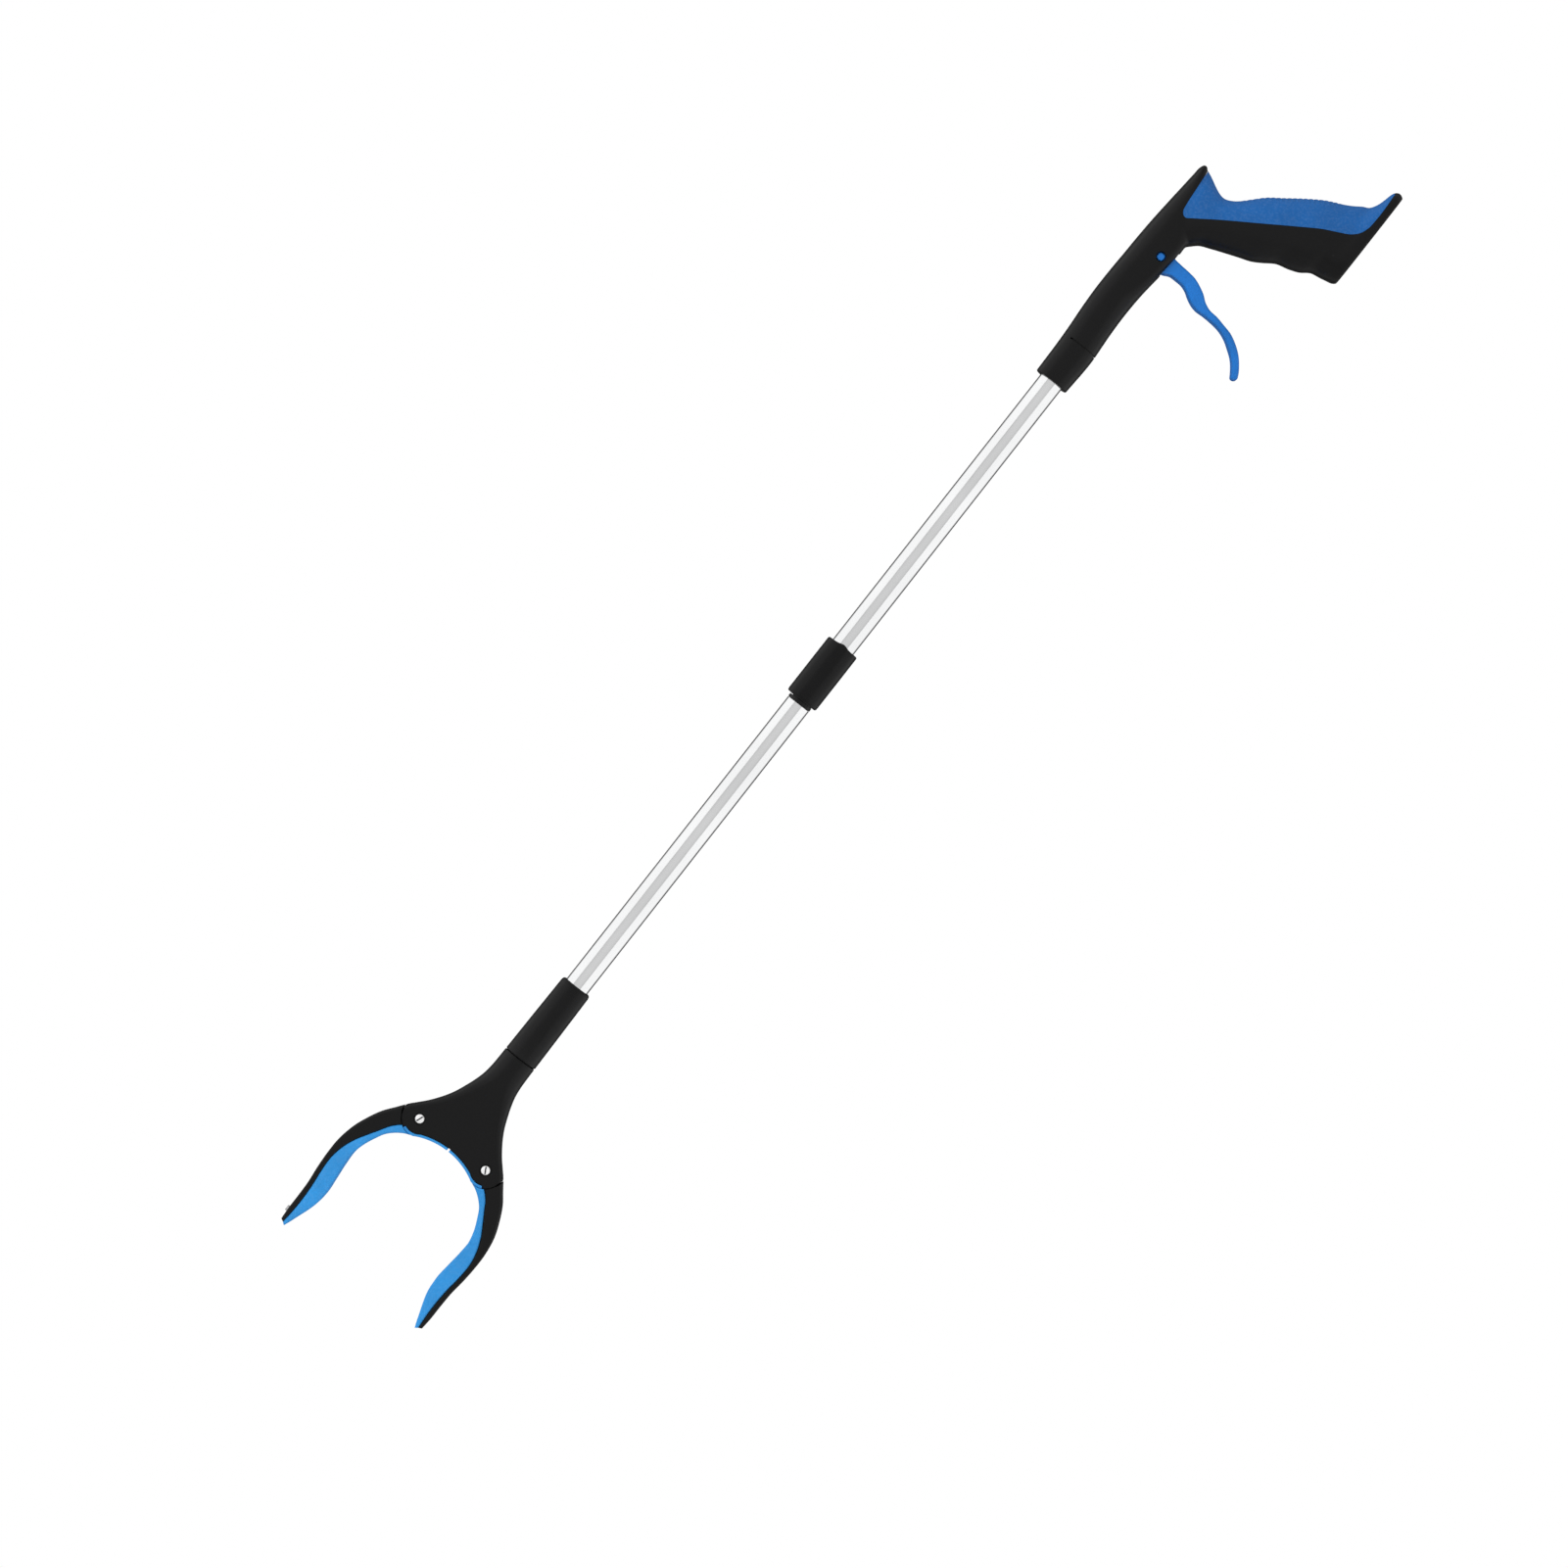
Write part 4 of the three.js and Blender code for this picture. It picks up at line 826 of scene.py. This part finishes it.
def build_palm_strips():
    """Soft facings across the palm, wrapped part of the way round each hub under the jaw's pad."""
    centre = (JAW_PIVOT.x + PALM_CENTRE, 0)
    for name, side, _ in pivot_points():
        wrap = lobe(side, 0, 155, 197, 30, front=HUB_RADIUS)
        under = lobe(side, 0.2, 155, 220, 60)[::-1]
        reach = math.degrees(math.asin(abs(wrap[-1][1]) / PALM_RADIUS))
        face = arc(centre, PALM_RADIUS, (reach - 1.2) * side, 0.9 * side, 40)
        back = front_arc(FRONT_RADIUS - 0.25, 0.8 * side, 19.5 * side)
        strip = plate(f"palm_strip_{name}_skin", [*wrap, *face, *back, *under], -11.3, 11.3)
        swing = lobe(side, 0, 150, 197, 30, front=16)
        cut(strip, plate("cheek_room", [*swing, (JAW_PIVOT.x, side * JAW_PIVOT.z)], -9.15, 9.15))
        finish_piece(bevel(strip, 0.25), "head", PAD_BLUE, f"palm_strip_{name}")


# ------------------------------------------------------------------ jaws

JAW_OUTER = [
    (1.5, 35.9), (-4.6, 40.4), (-12, 45.9), (-20, 50), (-30, 53.8), (-40, 55.5), (-50, 55.6), (-60, 55),
    (-70, 53.9), (-80, 53.6), (-90, 53.5), (-97.0, 53.0),
]
JAW_SEAM = [
    (-7.0, 26.0), (-9.2, 30.5), (-13.4, 35), (-20, 39.2), (-26, 42.9), (-33.4, 47.2), (-40, 49.9),
    (-50, 51.9), (-60, 51.6), (-70, 50.5), (-80, 50), (-90, 50.2), (-98.0, 50.9),
]
PAD_INNER = [
    (-10.3, 21.4), (-12.5, 26.7), (-16, 31.7), (-20, 35.5), (-25, 38.2), (-33, 41.6),
    (-40, 43.2), (-50, 43), (-60, 42), (-70, 41.2), (-78, 42), (-84, 43.7), (-90, 45.8),
    (-96, 47.9), (-99.3, 49.2),
]


# The pads bite this far into the jaws, so that no light shows between them.
PAD_BITE = 0.12
# The crosshead's pin sits 0.74 ahead of the jaw's pivot and 7 nearer to the tube's centre line.
LEVER_LAG = math.atan2(-0.74, 7.0)


def banded(name, outer, inner, side, half_width, corner, narrow):
    """A bar between two long edges, with rounded sections square to its run."""
    count = 110
    rings = []
    for t, p, q in zip(np.linspace(0, 1, count), curve(outer, count), curve(inner, count)):
        reach = max(np.linalg.norm(p - q) / 2, 0.15)
        ring = rounded(reach, half_width - narrow * t**3, corner, 40)
        flat = (p + q) / 2 + (ring[:, 0] / reach)[:, None] * (p - q) / 2
        rings.append(np.column_stack([JAW_PIVOT.x + flat[:, 0], side * ring[:, 1], side * flat[:, 1]]))
    return skin(name, rings)


def keep_out(side):
    """The room that the head's hub takes out of a jaw and its pad."""
    far = JAW_PIVOT.x + 14
    edge = lobe(side, 0.18, 60, 240, front=HUB_RADIUS)
    return plate("keep_out", [*edge, (far, side * 12), (far, side * 45)], -30, 30)


def jaw_root(side):
    """The cheek inside the head, with the eye round the pivot and the lever."""
    x0, z = JAW_PIVOT.x, side * JAW_PIVOT.z
    cheek = [
        (2, 30.7), (-1, 35.2), (-5, 40.0), (-14, 46), (-15.5, 38.3), (-9.2, 31.6), (-8.4, 26), (-6, 23.3),
        (-4, 20), (0, 20),
    ]
    root = plate("root", [(x0 + a, side * b) for a, b in cheek], -8.8, 8.8)
    join(root, bar("eye", [(-8.8, 6.2), (8.8, 6.2)], 64, "Y", (x0, 0, z)))
    join(root, lever("lever", side, 3.2, 0, 8.2, 8.8))
    return root


def lever(name, side, half_width, near, far, half_y):
    """The short arm from a jaw's pivot towards the centre line; its slot meets the crosshead's pin."""
    corners = [(-half_width, near), (half_width, near), (half_width, far), (-half_width, far)]
    outline = [
        (JAW_PIVOT.x + along * math.sin(LEVER_LAG) + across * math.cos(LEVER_LAG),
         side * (JAW_PIVOT.z - along * math.cos(LEVER_LAG) + across * math.sin(LEVER_LAG)))
        for across, along in corners
    ]
    return plate(name, outline, -half_y, half_y)


def build_jaws():
    x0 = JAW_PIVOT.x
    for name, side, z in pivot_points():
        jaw = banded(f"jaw_{name}_skin", JAW_OUTER, JAW_SEAM, side, 12.3, 1.6, 0.8)
        cut(jaw, keep_out(side))
        join(jaw, jaw_root(side))
        cut(
            jaw,
            lever("slot", side, 1.65, 5.3, 12, 20),
            bar("fork", [(-3, 9.9), (3, 9.9)], 64, "Y", (x0, 0, z)),
            bar("bush_hole", [(-20, 3.55), (20, 3.55)], 48, "Y", (x0, 0, z)),
        )
        if side > 0:
            magnet = in_mm(middle("tip_magnet"))
            cut(jaw, bar("magnet_seat", [(51.4, 2.0), (60, 2.0)], 40, "Z", (magnet.x, 0, 0)))
        finish_piece(jaw, f"jaw_{name}", BLACK, f"jaw_{name}")

        seam = offset_line(curve(JAW_SEAM, 60), PAD_BITE)
        pad = banded(f"jaw_pad_{name}_skin", seam, PAD_INNER, side, 12.4, 1.3, 0.9)
        cut(pad, keep_out(side))
        finish_piece(pad, f"jaw_{name}", PAD_BLUE, f"jaw_pad_{name}")


def build_magnet():
    spot = in_mm(middle("tip_magnet"))
    top = in_mm(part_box("tip_magnet")[1]).z
    outline = [(51.6, 1.8), (top - 0.5, 1.8), (top - 0.15, 1.65), (top, 1.3)]
    magnet = bar("tip_magnet_skin", outline, 48, "Z", (spot.x, 0, 0))
    finish_piece(magnet, "jaw_upper", BRIGHT_STEEL, "tip_magnet")


# ------------------------------------------------------------------ jaw-opening spring


def build_spring():
    """A compression coil with closed ends; on the real tool it shortens as the crosshead is drawn back, but here
    it is built as one fixed shape.
    """
    low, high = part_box("jaw_opening_spring")
    start, end = in_mm(low).x, in_mm(high).x
    wire, radius, turns = 0.5, 4.3, 8
    turn = np.linspace(0, turns, 32 * turns + 1)
    pitch = (end - start - 6 * wire) / (turns - 2)
    closed_turns = np.clip(turn, 0, 1) + np.clip(turn - turns + 1, 0, 1)
    along = start + wire + 2 * wire * closed_turns + pitch * np.clip(turn - 1, 0, turns - 2)
    section = oval(wire * 0.95, wire * 0.95, 2, 12)
    rings = []
    for x, angle in zip(along, 2 * math.pi * turn):
        reach = radius + section[:, 1]
        rings.append(np.column_stack([x + section[:, 0], reach * math.cos(angle), reach * math.sin(angle)]))
    spring = skin("jaw_opening_spring_skin", rings)
    finish_piece(spring, "head", STEEL, "jaw_opening_spring")
    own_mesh(spring)


# ------------------------------------------------------------------ carried-over nodes


def dress_cad_nodes():
    finishes = {
        "black_plastic": BLACK_SMOOTH, "steel": STEEL, "natural_nylon": NYLON, "aluminium": ALUMINIUM,
        "grip_rubber": GRIP_BLUE, "trigger_plastic": TRIGGER_BLUE, "pad_rubber": PAD_BLUE,
    }
    slots = {part["node"]: part["material_slot"] for part in frame["record"]["subparts"]}
    for name, obj in frame["nodes"].items():
        material = WIRE if "cable" in name and slots[name] == "steel" else finishes[slots[name]]
        dress(obj, material, 31)


# ------------------------------------------------------------------ floor, light and camera


def build_floor():
    """A pale disc that fades out with distance and where it is seen at a low angle."""
    bpy.ops.mesh.primitive_circle_add(vertices=96, radius=2.2, fill_type="NGON", location=(-0.32, 0, -0.0003))
    floor = bpy.context.object
    floor.name = "floor"
    n = Nodes("pale_floor")
    cloud = n.noise(n.place(), 6, 4)
    n.set(Base_Color=n.mix(n.remap(cloud, 0, 1), (0.9, 0.9, 0.9), (0.93, 0.93, 0.93)), Roughness=0.9,
          Specular_IOR_Level=0.1)
    where = n.add("ShaderNodeTexCoord")
    length = n.add("ShaderNodeVectorMath", operation="LENGTH")
    n.link(where.outputs["Object"], length.inputs[0])
    facing = n.add("ShaderNodeLayerWeight")
    steep = n.remap(facing.outputs["Facing"], 1, 0, 0.8, 0.95)
    n.set(Alpha=n.maths("MULTIPLY", n.remap(length.outputs["Value"], 1, 0, 0.55, 1.5), steep))
    floor.data.materials.append(n.material)
    floor.visible_glossy = False


def build_world():
    """A white studio. Shiny parts see it dimmer in front, dark behind and dimmer off to the ends."""
    world = bpy.data.worlds.new("studio")
    bpy.context.scene.world = world
    world.use_nodes = True
    tree = world.node_tree
    tree.nodes.clear()
    add, link = tree.nodes.new, tree.links.new
    where = add("ShaderNodeTexCoord")
    facing = add("ShaderNodeSeparateXYZ")
    link(where.outputs["Generated"], facing.inputs["Vector"])

    def ramp(axis, stops):
        half = add("ShaderNodeMapRange")
        half.inputs["From Min"].default_value = -1
        link(facing.outputs[axis], half.inputs["Value"])
        colours = add("ShaderNodeValToRGB")
        marks = colours.color_ramp.elements
        for mark, (place, value) in zip((marks[0], marks[1]), (stops[0], stops[-1])):
            mark.position, mark.color = place, (value, value, value, 1)
        for place, value in stops[1:-1]:
            marks.new(place).color = (value, value, value, 1)
        link(half.outputs["Result"], colours.inputs["Fac"])
        return colours.outputs["Color"]

    depth = ramp("Y", [(0, 0.66), (0.08, 0.62), (0.1, 0.42), (0.125, 1), (0.74, 1), (0.86, 0.12), (1, 0.08)])
    ends = ramp("X", [(0, 0.5), (0.22, 0.62), (0.36, 1), (0.64, 1), (0.78, 0.62), (1, 0.5)])
    both = add("ShaderNodeMix")
    both.data_type, both.blend_type = "RGBA", "MULTIPLY"
    both.inputs["Factor"].default_value = 1
    link(depth, both.inputs["A"])
    link(ends, both.inputs["B"])
    studio = add("ShaderNodeBackground")
    link(both.outputs["Result"], studio.inputs["Color"])
    white = add("ShaderNodeBackground")
    white.inputs["Color"].default_value = (1, 1, 1, 1)
    path = add("ShaderNodeLightPath")
    choose = add("ShaderNodeMixShader")
    link(path.outputs["Is Camera Ray"], choose.inputs["Fac"])
    link(studio.outputs["Background"], choose.inputs[1])
    link(white.outputs["Background"], choose.inputs[2])
    link(choose.outputs["Shader"], add("ShaderNodeOutputWorld").inputs["Surface"])
    bpy.context.scene.view_settings.view_transform = "Standard"
    bpy.context.scene.view_settings.look = "None"


def soft_light(name, place, aim, size, power):
    """A round area light at a place, turned to its aim."""
    data = bpy.data.lights.new(name, "AREA")
    data.shape, data.size, data.energy = "DISK", size, power
    light = bpy.data.objects.new(name, data)
    bpy.context.scene.collection.objects.link(light)
    light.visible_glossy = False
    light.location = place
    light.rotation_euler = (Vector(aim) - Vector(place)).to_track_quat("-Z", "Y").to_euler()


def build_lights():
    soft_light("key", (-1.2, -1.8, 2.2), (-0.4, 0, 0.1), 1.6, 22)
    soft_light("fill", (1.2, -1.4, 1.0), (-0.3, 0, 0.1), 1.6, 8)
    soft_light("back", (-0.3, 1.8, 1.4), (-0.4, 0, 0.1), 1.4, 12)


def build_camera():
    """Square on to the side, rolled so that the tube climbs to the upper right."""
    data = bpy.data.cameras.new("camera")
    data.lens, data.sensor_width = 135, 36
    camera = bpy.data.objects.new("camera", data)
    bpy.context.scene.collection.objects.link(camera)
    roll, distance = math.radians(51.89), 3.496
    right = Vector((math.cos(roll), 0, -math.sin(roll)))
    up, back = Vector((math.sin(roll), 0, math.cos(roll))), Vector((0, -1, 0))
    aim = MOUTH + Vector((-286.1, 0, -22.6)) * MM
    turn = Matrix((right, up, back)).transposed().to_4x4()
    camera.matrix_world = Matrix.Translation(aim + back * distance) @ turn
    data.clip_start, data.clip_end = 0.05, 50
    bpy.context.scene.camera = camera


build_handle()
build_trigger()
build_tubes()
build_sleeve()
build_neck()
build_head()
build_pivot_screws()
build_palm_strips()
build_jaws()
build_magnet()
build_spring()
dress_cad_nodes()
build_floor()
build_world()
build_lights()
build_camera()
